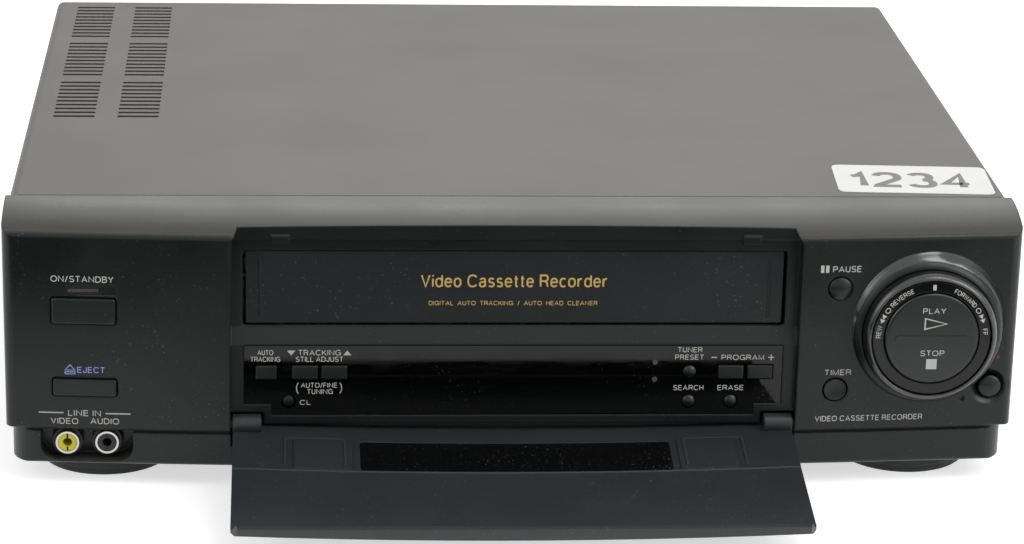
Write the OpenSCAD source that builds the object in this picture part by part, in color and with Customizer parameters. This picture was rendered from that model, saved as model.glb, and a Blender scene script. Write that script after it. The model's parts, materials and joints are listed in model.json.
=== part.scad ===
/* [Body] */
// Width of the front on each side of the door bay
side_w = 79.4; // [76:0.2:95]
// Depth from the front corners to the back edge of the cover
body_d = 302; // [298:1:340]
// Height of the feet under the body
foot_h = 8.5; // [6:0.5:12]
// Diameter of the feet
foot_d = 51; // [38:1:54]

/* [Front moulding] */
// How far the middle of the front stands forward of its corners
front_bow = 7.5; // [6.5:0.5:10]
// Depth of the moulding behind the front corners
ledge_d = 25.5; // [24:0.5:30]
// Height of the crown over the door bay
crown_h = 8.2; // [8:0.1:14]
// Fall of the top ledge from the cover to the front rim
ledge_drop = 4.9; // [3:0.1:6]
// Radius of the rim along the top of the front face
rim_r = 2.2; // [1:0.1:3]
// Plan radius of the upper front corners
corner_r = 4.5; // [2:0.5:8]
// Wall thickness of the moulding
panel_wall = 2.4; // [2:0.1:2.8]
// Height of the skirt under the shadow groove
skirt_h = 12.3; // [12:0.1:13]
// Height of the shadow groove over the skirt
groove_h = 1.8; // [1:0.1:2.2]
// Set-back of the skirt behind the front face
skirt_back = 1.7; // [0.5:0.1:2.2]
// Set-in of the skirt at each end
skirt_in = 1.7; // [1:0.1:4]
// Plan radius of the skirt's corners
skirt_r = 12; // [6:0.5:16]

/* [Door bay] */
// Gap between the door and each end of the bay
door_gap = 0.8; // [0.5:0.1:1.5]
// Angle by which the open door hangs below the horizontal
door_droop = 8.6; // [4:0.2:8.8]
// Diameter of the hinge knuckles of the door
knuckle_d = 6.8; // [5:0.1:7]
// Width of the smoked pane in the door
door_pane_w = 110; // [80:1:112]
// Thickness of the cassette flap
flap_t = 2; // [1.5:0.1:2.2]
// Gap around the cassette flap
flap_gap = 1.1; // [0.5:0.1:1.5]
// Height of the display window
window_h = 26; // [25:0.1:30]

/* [Buttons and dial] */
// Width of the two long buttons on the left
long_button_w = 22.4; // [16:0.1:26]
// Height of the power button
power_h = 9.5; // [7:0.1:11]
// Height of the eject button
eject_h = 6.3; // [4:0.1:8]
// Diameter of the pause button
pause_d = 8.2; // [6:0.1:9]
// Diameter of the dished timer button
timer_d = 8.6; // [6:0.1:9]
// Diameter of the record button
record_d = 8; // [6:0.1:8.6]
// Width of the two paired buttons under the window
pair_button_w = 9.2; // [7:0.1:9.6]
// Height of the small buttons under the window
small_button_h = 5.2; // [4:0.1:5.6]
// Diameter of the round buttons under the window
round_button_d = 4.6; // [3.5:0.1:5]
// Travel of every button
button_travel = 0.6; // [0.4:0.1:0.8]
// Gap around every button
button_gap = 0.35; // [0.3:0.05:0.5]
// Outer diameter of the shuttle ring
ring_d = 47.6; // [44:0.2:49]
// How far the shuttle ring stands forward of the front face
ring_proud = 10; // [7:0.5:12]
// Diameter of the play and stop disc
disc_d = 33.4; // [30:0.2:34]

/* [Cover] */
// Thickness of the steel cover
cover_t = 0.8; // [0.6:0.1:1.2]
// Vent slots in each group
vent_count = 10; // [6:1:10]
// Distance between vent slots
vent_pitch = 5.3; // [4.5:0.1:5.4]
// Length of one vent slot
vent_len = 15.6; // [10:0.1:18]
// Width of one vent slot
vent_w = 2.4; // [1.5:0.1:3]

/* [Sockets] */
// Diameter of the bore for the centre pin of a phono plug
phono_bore = 3.2; // [3:0.05:3.4]
// Outer diameter of a phono socket
phono_d = 8.3; // [8:0.1:8.6]
// Distance between the two phono sockets
phono_pitch = 14; // [12:0.5:16]
// Diameter of the bore of an aerial socket
aerial_bore = 9.5; // [9.3:0.05:9.6]

/* [Tape deck] */
// Width of a cassette
cassette_w = 187; // [180:0.5:200]
// Height of a cassette
cassette_h = 25; // [23:0.5:28]
// How far the holder carries a cassette inwards before it is lowered
load_in = 70; // [66:0.5:72]
// Distance between the two reels
reel_pitch = 92.4; // [90:0.2:95]
// Diameter of a reel table
reel_d = 48; // [40:0.5:52]
// Diameter of the head drum
drum_d = 62; // [58:0.5:64]
// Lean of the head drum
drum_lean = 6; // [0:0.5:7]
// Diameter of the capstan shaft
capstan_d = 4; // [3:0.1:5]
// Diameter of the flywheel
flywheel_d = 48; // [36:0.5:52]
// Diameter of the pinch roller
pinch_d = 13; // [10:0.2:15]

/* [Hidden] */

big = 500;
running_gap = 0.05;
loose_gap = 0.3;

// Openings and widths of the front, from the cassette outwards
slot_w = cassette_w + 5.6;
slot_h = cassette_h + 3.2;
window_w = slot_w - 1.2;
bay_w = slot_w + 8.6;
body_w = bay_w + 2 * side_w;

// Radius and centre of the arc in which the front is bowed
bow_r = (pow(body_w / 2, 2) + pow(front_bow, 2)) / (2 * front_bow);
bow_y = bow_r - front_bow;
bow_fn = 720;
bow_half_angle = 6;
// Depth of the bowed solids behind the arc, past the back of the moulding
bow_depth = ledge_d + front_bow + 6;

// Levels of the front moulding, counted from the skirt up
skirt_z = foot_h;
groove_z = skirt_z + skirt_h;
face_z = groove_z + groove_h;
groove_d = 3.2;
skirt_round = 2;
hinge_y = -1.5;
hinge_z = groove_z + 3.5;
strip_z = hinge_z - 0.7;
window_z = hinge_z + 2.7;
shelf_z = window_z + window_h + 0.3;
slot_z = shelf_z + 6;
band_z = slot_z + slot_h + 4.8;
body_h = band_z + crown_h;
rim_z = body_h - ledge_drop;

// The top ledge: an arc that leaves the rim's round and ends level under the cover
ledge_flat = ledge_d - 1.5;
rim_turn = 75;
rim_end = [rim_r * (1 - cos(rim_turn)), rim_z - rim_r + rim_r * sin(rim_turn)];
ledge_run = ledge_flat - rim_end[0];
ledge_fall = body_h - rim_end[1];
ledge_curve_r = (pow(ledge_run, 2) + pow(ledge_fall, 2)) / (2 * ledge_fall);
ledge_slope = asin(ledge_run / ledge_curve_r);

// Planes and corners of the door bay
lower_floor_y = 0;
upper_floor_y = 3;
window_t = 2;
seat_y = lower_floor_y + window_t;
seat_back = seat_y + panel_wall;
trough_r = 8.3;
bay_corner_w = 2.3;
bay_corner_h = 4;
bay_corner_z = body_h - 8;
catch_x = bay_w / 2 - 17.6;
catch_w = 6.4;

// The door, drawn closed and then swung open about its hinge
door_w = bay_w - 2 * door_gap;
door_z = groove_z - 0.7;
door_skin = 2;
door_back_y = lower_floor_y - 0.6;
door_open = 90 + door_droop;
door_pin_d = 3;
knuckle_w = 10;
door_pane_z = window_z + 4.8;
door_pane_h = window_h - 6.2;
door_pad_x = door_pane_w / 2 + 13;
door_pad_w = 20.6;
door_crease_z = door_pane_z + door_pane_h + 0.4;
notch_w = knuckle_w - 0.2;
notch_h = 4.2;

// The cassette flap
flap_y = upper_floor_y + 1.2;
flap_axis_y = flap_y + flap_t + 1.8;
flap_axis_z = slot_z + slot_h + 1.9;
flap_w = slot_w - 2 * flap_gap;
flap_h = slot_h - flap_gap - 0.3;
flap_z = slot_z + 0.9;
flap_tube_d = 4;
flap_pin_d = 2.4;
flap_reach = flap_axis_z - flap_z;

// Places on the front face
left_x = -body_w / 2 + 28.3;
power_z = groove_z + 46.1;
standby_z = power_z + power_h / 2 + 2.7;
eject_z = groove_z + 17.6;
pause_x = body_w / 2 - 65.5;
pause_z = groove_z + 55.3;
timer_z = groove_z + 17.1;
record_x = body_w / 2 - 8.9;
record_z = groove_z + 17;
record_dish_d = 13;
record_dish = 1.8;
dial_x = body_w / 2 - 33.3;
pit_x = body_w / 2 - 19;
dial_z = groove_z + 39.3;
button_boss = 3;

// The dial, in distances forward of the face at its centre
dial_y = front_y(dial_x);
well_floor_y = 2;
swell_d = ring_d + 5.4;
swell_h = 4.4;
ring_bore = ring_d - 4.6;
ring_round = 3.4;
ring_front_h = well_floor_y - dial_y + ring_proud;
scale_d = ring_bore - 2 * loose_gap;
scale_bore = disc_d + 1;
scale_plate_t = 1.5;
scale_front_h = ring_front_h - 0.7;
disc_front_y = dial_y - ring_proud;
disc_t = 2;
rock_y = disc_front_y + 7;
rock_pin_d = 2.4;
rock_arm = 8;
rock_travel = 0.6;

// The buttons under the window, from its two ends
window_end = window_w / 2;
auto_x = 7.7 - window_end;
down_x = 21.4 - window_end;
up_x = 31.8 - window_end;
clear_x = 15.6 - window_end;
tuner_x = window_end - 33.1;
erase_x = window_end - 18.1;
program_down_x = window_end - 18.4;
program_up_x = window_end - 7.9;
upper_row_z = window_z + 16.2;
lower_row_z = window_z + 5;
led_x = window_end - 45.5;
display_x0 = up_x + 8;
display_x1 = led_x - 8.2;
led_z = [window_z + 13.3, window_z + 19.8];

// The phono sockets in their pocket
pocket_x = left_x + 0.3;
pocket_w = phono_pitch + 18.7;
pocket_z = skirt_z + 1.1;
pocket_r = 6;
pocket_back_y = 8.5;
jack_z = skirt_z + 7.8;
jack_front_y = 0.7;
shell_t = 0.7;
collar_d = phono_d + 2.4;
collar_back = 1.8;

// The case
shell_w = body_w - 2;
floor_t = 2;
floor_top = foot_h + floor_t;
frame_w = shell_w - 2 * cover_t - 0.6;
frame_wall = 1.6;
frame_wall_h = 18;
foot_plug_d = 8.4;
foot_x = body_w / 2 - foot_d / 2 - 8.3;
foot_y = [max(foot_d / 2 + 8, ledge_d + foot_plug_d / 2 + 2), body_d - 40];
rear_t = 1;
rear_y = body_d - cover_t - rear_t;
cover_r = 3;
cover_z = body_h - 0.1;
cover_sides_z = foot_h + 3;
vent_x = [-body_w / 2 + 18.2, -body_w / 2 + 42.6];
vent_y0 = body_d - 175.7;
vent_group_pitch = 59.4;
screw_d = 3;
cover_screw_y = [foot_y[0] + 30, foot_y[1] - 30];
cover_screw_z = floor_top + 9;
rear_screw_x = [-body_w / 2 + 30, 0, body_w / 2 - 30];
rear_screw_z = body_h - 4.4;

// Boards and sockets
board_t = 1.6;
front_board_y = 14;
front_board_z = skirt_z + panel_wall;
main_board_z = floor_top + 4;
board_top = main_board_z + board_t;
board_x1 = frame_w / 2 - 5;
board_y0 = ledge_d + 5;
board_post_x = frame_w / 2 - 14;
board_post_y = [foot_y[0] + 28, foot_y[1] - 40];
socket_z = floor_top + 22;
inlet_x = -body_w / 2 + 34;
inlet_w = 24;
inlet_h = 15;
scart_w = 47;
scart_h = 15;
aerial_d = 13;
aerial_reach = 9;
tuner_x0 = body_w / 2 - 112;
tuner_w = 54;
tuner_d = 48;
aerial_x = [tuner_x0 + 14, tuner_x0 + 40];
scart_x = [tuner_x0 - 120, tuner_x0 - 54];
panel_socket_z = socket_z + 6;
transformer_y = rear_y - 46;
transformer_h = 37;
power_board_y = rear_y - 150;
power_board_w = 44;
power_board_d = 82;

// Switches and caps on the front boards
switch_h = 4.6;
switch_y = front_board_y - switch_h;
window_wall_y = seat_back + 1;
window_proud = 1;
face_proud = 1.1;

// The tape deck
deck_top = floor_top + 14.7;
deck_t = 1.6;
deck_w = cassette_w + 25;
board_x0 = deck_w / 2 + 8;
deck_y0 = 42;
deck_y1 = 236;
deck_post_x = deck_w / 2 - 6;
deck_post_y = [deck_y0 + 10, deck_y1 - 8];
reel_post_d = 4;
idler_post_d = 3;
arm_post_d = 5;
arm_pin_d = 3;
arm_bar_t = 1.6;
clutch_shaft_d = 4;
drum_shaft_d = 6;
entry_z = slot_z + 1;
holder_t = 1;
holder_y0 = flap_axis_y + flap_reach + 2.5;
holder_d = 42;
stop_y = holder_y0 + holder_d - 2;
holder_w = cassette_w + 1.4;
loaded_z = deck_top + 9.1;
load_down = entry_z - loaded_z;
loaded_back_y = stop_y + load_in;
reel_y = loaded_back_y - 64;
pin_d = 3.5;
pin_y = [holder_y0 + 8, holder_y0 + holder_d - 8];
pin_z = entry_z + 3;
bracket_t = 1.2;
bracket_x = holder_w / 2 + holder_t + 1.8;
slider_x = bracket_x + bracket_t + 0.8;
slider_t = 1.2;
pin_end_x = slider_x + slider_t + 1.2;
bracket_top = entry_z + cassette_h + 7;
drum_y = loaded_back_y + 50;
drum_z = deck_top + 6;
drum_split = 12;
drum_h = 26;
guide_x = [30, 44];
guide_y = [loaded_back_y - 8, drum_y + 14];
guide_angle = atan2(guide_x[1] - guide_x[0], guide_y[1] - guide_y[0]);
guide_travel = norm([guide_x[1] - guide_x[0], guide_y[1] - guide_y[0]]);
guide_keel = 5.6;
capstan_x = 70;
capstan_y = loaded_back_y + 14;
capstan_top = loaded_z + 24;
flywheel_z = floor_top + 5.5;
flywheel_t = 4.5;
belt_z = floor_top + 1.7;
belt_h = 3;
pulley_d = 24;
clutch_d = 28;
clutch_y = reel_y + 34;
arm_x = capstan_x + 18;
arm_y = capstan_y + 22;
arm_len = 19.7;
arm_rest = -89;
roller_x = arm_x + arm_len * cos(arm_rest);
roller_y = arm_y + arm_len * sin(arm_rest);
idler_len = 24;
idler_d = 24;
motor_d = 24;
head_top = loaded_z + 20;

// The middle between the tip of the open door and the aerial sockets
door_tip = [door_back_y - hinge_y, ledge_z(door_back_y + front_bow) - hinge_z];
door_tip_y = hinge_y + door_tip[0] * cos(door_open) - door_tip[1] * sin(door_open);
origin_y = (door_tip_y + rear_y + rear_t + aerial_reach) / 2;

// Height of the top ledge at a depth behind the arc
function ledge_z(depth) =
  body_h - ledge_curve_r + sqrt(pow(ledge_curve_r, 2) - pow(max(ledge_flat - depth, 0), 2));

function front_y(x) = bow_y - sqrt(bow_r * bow_r - x * x);

function arc(cx, cy, r, a0, a1, n = 6) =
  [for (i = [0:n]) let (a = a0 + (a1 - a0) * i / n) [cx + r * cos(a), cy + r * sin(a)]];

function round_rect(w, h, r, n = 4) = concat(
  arc(w / 2 - r, h / 2 - r, r, 0, 90, n), arc(-w / 2 + r, h / 2 - r, r, 90, 180, n),
  arc(-w / 2 + r, -h / 2 + r, r, 180, 270, n), arc(w / 2 - r, -h / 2 + r, r, 270, 360, n));

// Outline of a spur gear with straight-sided teeth
function gear(teeth, root_r, tip_r) = [
  for (i = [0:teeth - 1], k = [0:3]) let (
    a = 360 / teeth * (i + [0.1, 0.35, 0.55, 0.8][k]),
    r = k == 1 || k == 2 ? tip_r : root_r) [r * cos(a), r * sin(a)]];

// The curve of the top ledge, from its flat back part down to the rim, set in by t
function ledge(t, n = 20) = [
  for (i = [1:n]) let (a = 90 - ledge_slope * (1 - i / n))
    [ledge_flat - (ledge_curve_r - t) * cos(a), body_h - ledge_curve_r + (ledge_curve_r - t) * sin(a)]];

// Face and top of the moulding as depth behind the arc and height
function face_outline() = concat(
  arc(rim_r, rim_z - rim_r, rim_r, 180, 180 - rim_turn, 8),
  ledge(0), [[bow_depth, body_h]]);

function panel_outline() = concat(
  [[bow_depth, skirt_z]],
  arc(skirt_back + skirt_round, skirt_z + skirt_round, skirt_round, 270, 180, 4),
  [[skirt_back, groove_z], [groove_d, groove_z], [groove_d, face_z], [0.5, face_z], [0, face_z + 0.5]],
  face_outline());

function panel_inner_outline() = concat(
  [[bow_depth + 1, skirt_z + panel_wall], [groove_d + panel_wall, skirt_z + panel_wall],
   [groove_d + panel_wall, face_z + panel_wall], [panel_wall, face_z + panel_wall]],
  [[panel_wall, rim_z - rim_r]], ledge(panel_wall, 6), [[bow_depth + 1, body_h - panel_wall]]);

function door_outline() = concat(
  [[bow_depth, door_z]], arc(3, door_z + 3, 3, 270, 180, 5), face_outline());

function door_inner_outline() = concat(
  [[bow_depth + 1, door_z - 1], [door_skin, door_z - 1], [door_skin, door_crease_z],
   [door_skin - 0.3, door_crease_z + 0.3], [door_skin - 0.3, rim_z - rim_r - 0.8]],
  ledge(door_skin), [[bow_depth + 1, body_h - door_skin]]);

// A section, given as depth behind the arc and height, swept along the bowed front
module bowed(section) {
  translate([0, bow_y, 0])
    rotate([0, 0, -90 - bow_half_angle])
      rotate_extrude(angle = 2 * bow_half_angle, $fn = bow_fn)
        polygon([for (p = section) [bow_r - p[0], p[1]]]);
}

// A plate with an outline in width and height, from y0 back to y1
module plate_y(points, y0, y1) {
  translate([0, y1, 0])
    rotate([90, 0, 0])
      linear_extrude(height = y1 - y0)
        polygon(points);
}

module rect_y(x, z, w, h, r, y0, y1) {
  translate([x, 0, z])
    plate_y(round_rect(w, h, r), y0, y1);
}

// A cylinder along the depth, from y0 back to y1
module disc_y(x, z, d, y0, y1, fn = 64) {
  translate([x, y1, z])
    rotate([90, 0, 0])
      cylinder(d = d, h = y1 - y0, $fn = fn);
}

// A cylinder along the width, from x0 to x1
module rod_x(x0, x1, y, z, d, fn = 48) {
  translate([x0, y, z])
    rotate([0, 90, 0])
      cylinder(d = d, h = x1 - x0, $fn = fn);
}

module box(x0, x1, y0, y1, z0, z1) {
  translate([x0, y0, z0])
    cube([x1 - x0, y1 - y0, z1 - z0]);
}

// A box from x0 to x1 on the right, or its mirror image on the left
module mirrored_box(side, x0, x1, y0, y1, z0, z1) {
  box(side > 0 ? x0 : -x1, side > 0 ? x1 : -x0, y0, y1, z0, z1);
}

module mirrored_rod(side, x0, x1, y, z, d, fn = 48) {
  rod_x(side > 0 ? x0 : -x1, side > 0 ? x1 : -x0, y, z, d, fn);
}

// A post that stands on z0
module post(x, y, z0, z1, d, fn = 48) {
  translate([x, y, z0])
    cylinder(d = d, h = z1 - z0, $fn = fn);
}

// Plan of the moulding: square at y1, and rounded at its two front corners, set back from the arc
function plan(w, r, set_back, y1) = let (x = w / 2 - r, y = front_y(w / 2 - r) + set_back + r) concat(
  [[x, -big / 5]], arc(x, y, r, -90, 0, 10), [[w / 2, y1], [-w / 2, y1]],
  arc(-x, y, r, 180, 270, 10), [[-x, -big / 5]]);

module plan_block(w, r, set_back, y1, z0, z1) {
  translate([0, 0, z0])
    linear_extrude(height = z1 - z0)
      polygon(plan(w, r, set_back, y1));
}

// The whole moulding as one solid
module moulding_body() {
  intersection() {
    bowed(panel_outline());
    union() {
      plan_block(body_w, corner_r, 0, ledge_d, face_z - 0.2, body_h + 1);
      plan_block(body_w - 2 * skirt_in, skirt_r, skirt_back, ledge_d, 0, face_z + 1);
    }
  }
}

module moulding_hollow() {
  side = body_w / 2 - panel_wall;
  intersection() {
    bowed(panel_inner_outline());
    union() {
      plan_block(2 * (side - skirt_in), skirt_r - panel_wall, skirt_back + panel_wall, big / 5, 0, body_h);
      box(-side, side, -big / 5, big / 5, face_z + 2 * panel_wall, body_h);
    }
  }
}

// The opening of the door bay as seen from the front
function bay_outline(w, z0, inset = 0) = [
  [-w / 2, z0], [w / 2, z0], [w / 2, bay_corner_z - inset],
  [w / 2 - bay_corner_w, bay_corner_z + bay_corner_h - inset],
  [w / 2 - bay_corner_w, body_h + 5], [-w / 2 + bay_corner_w, body_h + 5],
  [-w / 2 + bay_corner_w, bay_corner_z + bay_corner_h - inset], [-w / 2, bay_corner_z - inset]];

module bay_space() {
  intersection() {
    plate_y(bay_outline(bay_w, 0), -big / 10, big / 10);
    translate([-bay_w / 2 - 1, 0, 0])
      rotate([90, 0, 90])
        linear_extrude(height = bay_w + 2)
          polygon([[-40, strip_z], [lower_floor_y, strip_z], [lower_floor_y, shelf_z],
                   [upper_floor_y, slot_z], [upper_floor_y, band_z], [lower_floor_y, band_z],
                   [lower_floor_y, body_h + 5], [-40, body_h + 5]]);
  }
  // Trough in which the lower edge of the door swings
  intersection() {
    rod_x(-bay_w / 2, bay_w / 2, hinge_y, hinge_z, 2 * trough_r, 96);
    box(-bay_w / 2 - 1, bay_w / 2 + 1, -20, 20, 0, strip_z);
  }
  box(-bay_w / 2, bay_w / 2, -20, hinge_y, hinge_z - 4, strip_z + 1);
  for (s = [-1, 1])
    mirrored_rod(s, bay_w / 2 - knuckle_w - 1.8, bay_w / 2, hinge_y, hinge_z, knuckle_d + 1.2);
}

// Front view of the display window, with a notch for each hinge knuckle
function window_outline(grow = 0) = let (w = window_w / 2 + grow, n = notch_w) [
  [-w + n, window_z - grow], [w - n, window_z - grow], [w - n, window_z + notch_h - grow],
  [w, window_z + notch_h - grow], [w, window_z + window_h + grow], [-w, window_z + window_h + grow],
  [-w, window_z + notch_h - grow], [-w + n, window_z + notch_h - grow]];

function pocket_outline(grow = 0) =
  let (w = pocket_w / 2 + grow, z0 = pocket_z - grow, z1 = groove_z + 0.4 + grow)
  [for (p = concat([[w, z1], [-w, z1]], arc(-w + pocket_r, z0 + pocket_r, pocket_r, 180, 270, 6),
                   arc(w - pocket_r, z0 + pocket_r, pocket_r, 270, 360, 6))) [p[0] + pocket_x, p[1]]];

// Holes for every button that passes through the moulding
module button_holes() {
  g = 2 * button_gap;
  rect_y(left_x, power_z, long_button_w + g, power_h + g, 1.2, -20, 20);
  rect_y(left_x, eject_z, long_button_w + g, eject_h + g, 1.2, -20, 20);
  disc_y(pause_x, pause_z, pause_d + g, -20, 20);
  disc_y(pause_x, timer_z, timer_d + g, -20, 20);
  disc_y(record_x, record_z, record_d + g, -20, 20);
  window_button_holes(seat_y - 1);
}

module window_button_holes(y0) {
  g = 2 * button_gap;
  rect_y(auto_x, upper_row_z, pair_button_w - 1.6 + g, small_button_h + g, 0.6, y0, 20);
  for (x = [down_x, up_x, program_down_x, program_up_x])
    rect_y(x, upper_row_z, pair_button_w + g, small_button_h + g, 0.6, y0, 20);
  disc_y(tuner_x, upper_row_z, round_button_d + g, y0, 20, 40);
  for (x = [clear_x, tuner_x, erase_x])
    disc_y(x, lower_row_z, round_button_d + g, y0, 20, 40);
  for (z = led_z)
    disc_y(led_x, z, 2.2, y0, 20, 32);
}

// Moulded swell round the dial
module swell() {
  translate([dial_x, well_floor_y + panel_wall, dial_z])
    rotate([90, 0, 0])
      rotate_extrude($fn = 128)
        polygon(concat([[0, 0], [swell_d / 2 + 0.6, 0]],
          arc(swell_d / 2 - 3.4, well_floor_y + panel_wall - dial_y + swell_h - 4, 4, 0, 75, 6),
          [[ring_d / 2 + 0.6, well_floor_y + panel_wall - dial_y + swell_h],
           [0, well_floor_y + panel_wall - dial_y + swell_h]]));
}

// Catch for the closed door, at the top of the bay
module catch_tab(side) {
  translate([side * catch_x, 0, 0])
    box(-catch_w / 2, catch_w / 2, lower_floor_y - 1.4, lower_floor_y + 1, band_z - 1.4, band_z + 2);
}

module front_panel() {
  color("#26282a")
  difference() {
    union() {
      difference() {
        moulding_body();
        moulding_hollow();
      }
      intersection() {
        moulding_body();
        union() {
          box(-bay_w / 2 - panel_wall, bay_w / 2 + panel_wall, -20, seat_back + 1, skirt_z, body_h);
          box(-bay_w / 2 - panel_wall, bay_w / 2 + panel_wall, -20, trough_r + 1, skirt_z, strip_z + 2.4);
          plate_y(pocket_outline(panel_wall * 0.6), -20, pocket_back_y + 1.6);
          box(pocket_x - pocket_w / 2 - 2, pocket_x + pocket_w / 2 + 2, -20, pocket_back_y + 1.6,
              groove_z - 1, face_z + 2);
        }
      }
      // Ears behind the floor of the bay that carry the flap's pins
      for (s = [-1, 1])
        mirrored_box(s, slot_w / 2 + 0.4, slot_w / 2 + 3, upper_floor_y, flap_axis_y + 3,
                     flap_axis_z - 5, flap_axis_z + 4);
      // Guide sleeves behind the long and round buttons
      rect_y(left_x, power_z, long_button_w + 4, power_h + 4, 1.6, 0, button_boss);
      rect_y(left_x, eject_z, long_button_w + 4, eject_h + 4, 1.6, 0, button_boss);
      disc_y(pause_x, pause_z, pause_d + 4, -3, button_boss);
      disc_y(pause_x, timer_z, timer_d + 4, -3, button_boss);
      disc_y(record_x, record_z, record_dish_d + 2, 0.5, button_boss);
      swell();
      for (s = [-1, 1])
        catch_tab(s);
    }
    difference() {
      bay_space();
      for (s = [-1, 1])
        catch_tab(s);
    }
    plate_y(window_outline(0.2), lower_floor_y - 1, seat_y);
    // Opening for the glass of the display
    box(display_x0 - 1, display_x1 + 1, seat_y - 1, 20, window_z + 3, window_z + window_h - 2.6);
    rect_y(0, slot_z + slot_h / 2, slot_w, slot_h, 1.5, -1, 20);
    box(-slot_w / 2, slot_w / 2, seat_back + 0.6, 30, slot_z - 1.4, body_h - panel_wall - 3);
    difference() {
      plate_y(pocket_outline(), -20, pocket_back_y);
      // Collars round the phono sockets
      for (x = phono_x())
        disc_y(x, jack_z, collar_d, jack_front_y + collar_back, pocket_back_y + 1, 48);
    }
    for (x = phono_x()) {
      disc_y(x, jack_z, phono_d + 2 * running_gap, -20, pocket_back_y, 48);
      disc_y(x, jack_z, phono_d - 2 * shell_t, pocket_back_y - 1, 20, 48);
    }
    button_holes();
    // Dish round the record button
    translate([record_x, front_y(record_x) + record_dish, record_z])
      rotate([90, 0, 0])
        cylinder(d1 = record_d + 2 * button_gap, d2 = 2 * record_dish_d - record_d,
                 h = 2 * record_dish, $fn = 64);
    // Shallow recess over the power button, with a slot for the standby lens
    rect_y(left_x, standby_z - 0.1, long_button_w + 0.8, 3.4, 0.4, -20, front_y(left_x) + 0.4);
    rect_y(left_x, standby_z, 11, 1.5, 0.3, -20, 20);
    disc_y(pit_x, record_z - 4.2, 2.2, -20, front_y(pit_x) + 1, 32);
    // Well of the dial, with a window for its switch stems
    disc_y(dial_x, dial_z, ring_d + 2 * loose_gap, -30, well_floor_y, 128);
    disc_y(dial_x, dial_z, scale_bore - 8, -30, 20, 96);
    // Bores for the pins of the door and of the flap
    rod_x(-bay_w / 2 - panel_wall - 1, -bay_w / 2 + 1, hinge_y, hinge_z, door_pin_d + 2 * running_gap);
    rod_x(bay_w / 2 - 1, bay_w / 2 + panel_wall + 1, hinge_y, hinge_z, door_pin_d + 2 * running_gap);
    rod_x(-slot_w / 2 - 4, slot_w / 2 + 4, flap_axis_y, flap_axis_z, flap_pin_d + 2 * running_gap);
  }
}

function phono_x() = [pocket_x - phono_pitch / 2, pocket_x + phono_pitch / 2];

// Swings what is drawn for the closed door to its open rest
module opened_door() {
  translate([0, hinge_y, hinge_z])
    rotate([door_open, 0, 0])
      translate([0, -hinge_y, -hinge_z])
        children();
}

module control_door() {
  color("#2b2e30")
  opened_door()
    difference() {
      union() {
        difference() {
          intersection() {
            bowed(door_outline());
            plate_y(bay_outline(door_w, door_z - 1, door_gap), -20, door_back_y);
          }
          bowed(door_inner_outline());
        }
        for (s = [-1, 1]) {
          mirrored_rod(s, door_w / 2 - knuckle_w, door_w / 2, hinge_y, hinge_z, knuckle_d);
          mirrored_rod(s, door_w / 2 - 1, bay_w / 2 + panel_wall, hinge_y, hinge_z, door_pin_d);
        }
        // Raised pad on each side of the pane
        intersection() {
          bowed([[door_skin - 1, door_pane_z], [door_skin + 0.5, door_pane_z],
                 [door_skin + 0.5, door_pane_z + door_pane_h], [door_skin - 1, door_pane_z + door_pane_h]]);
          for (s = [-1, 1])
            box(s * door_pad_x - door_pad_w / 2, s * door_pad_x + door_pad_w / 2, -20, 10, 0, body_h);
        }
      }
      rect_y(0, door_pane_z + door_pane_h / 2, door_pane_w, door_pane_h, 1, -30, 10);
    }
}

module door_window() {
  color("#101314")
  opened_door()
    intersection() {
      bowed([[0.1, door_pane_z - 1], [door_skin - 0.2, door_pane_z - 1],
             [door_skin - 0.2, door_pane_z + door_pane_h + 1], [0.1, door_pane_z + door_pane_h + 1]]);
      rect_y(0, door_pane_z + door_pane_h / 2, door_pane_w, door_pane_h, 1, -20, 10);
    }
}

module cassette_flap() {
  color("#22272a")
  union() {
    rect_y(0, flap_z + flap_h / 2, flap_w, flap_h, 0.8, flap_y, flap_y + flap_t);
    for (s = [-1, 1]) {
      // Embossed guide lines
      box(s * (flap_w / 2 - 5) - 0.4, s * (flap_w / 2 - 5) + 0.4, flap_y - 0.3, flap_y + 0.5,
          flap_z + 2.6, flap_z + flap_h - 3);
      difference() {
        union() {
          mirrored_rod(s, flap_w / 2 - 9, flap_w / 2, flap_axis_y, flap_axis_z, flap_tube_d);
          mirrored_box(s, flap_w / 2 - 9, flap_w / 2, flap_y + flap_t - 0.4, flap_axis_y + flap_tube_d / 2,
                       flap_z + flap_h - 6, flap_axis_z);
        }
        box(-flap_w, flap_w, flap_axis_y, flap_axis_y + 6, flap_z + flap_h - 7, flap_z + flap_h - 4);
      }
      mirrored_rod(s, flap_w / 2 - 1, slot_w / 2 + 3, flap_axis_y, flap_axis_z, flap_pin_d);
    }
    // Stiffening rib along the lower edge
    box(-flap_w / 2 + 2, flap_w / 2 - 2, flap_y + flap_t - 0.2, flap_y + flap_t + 1.6,
        flap_z + 1, flap_z + 2.2);
  }
}

module display_window() {
  color("#0b0d0e")
  difference() {
    plate_y(window_outline(), lower_floor_y, seat_y);
    window_button_holes(-5);
  }
}

// A solid through a list of rings with the same number of points, from the bottom ring up
module loft(rings) {
  n = len(rings[0]);
  m = len(rings);
  polyhedron(
    points = [for (ring = rings, p = ring) p],
    faces = concat([[for (i = [0:n - 1]) i]], [[for (i = [n - 1:-1:0]) (m - 1) * n + i]],
      [for (k = [0:m - 2], i = [0:n - 1]) let (j = (i + 1) % n)
        [k * n + i, (k + 1) * n + i, (k + 1) * n + j]],
      [for (k = [0:m - 2], i = [0:n - 1]) let (j = (i + 1) % n)
        [k * n + i, (k + 1) * n + j, k * n + j]]));
}

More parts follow.
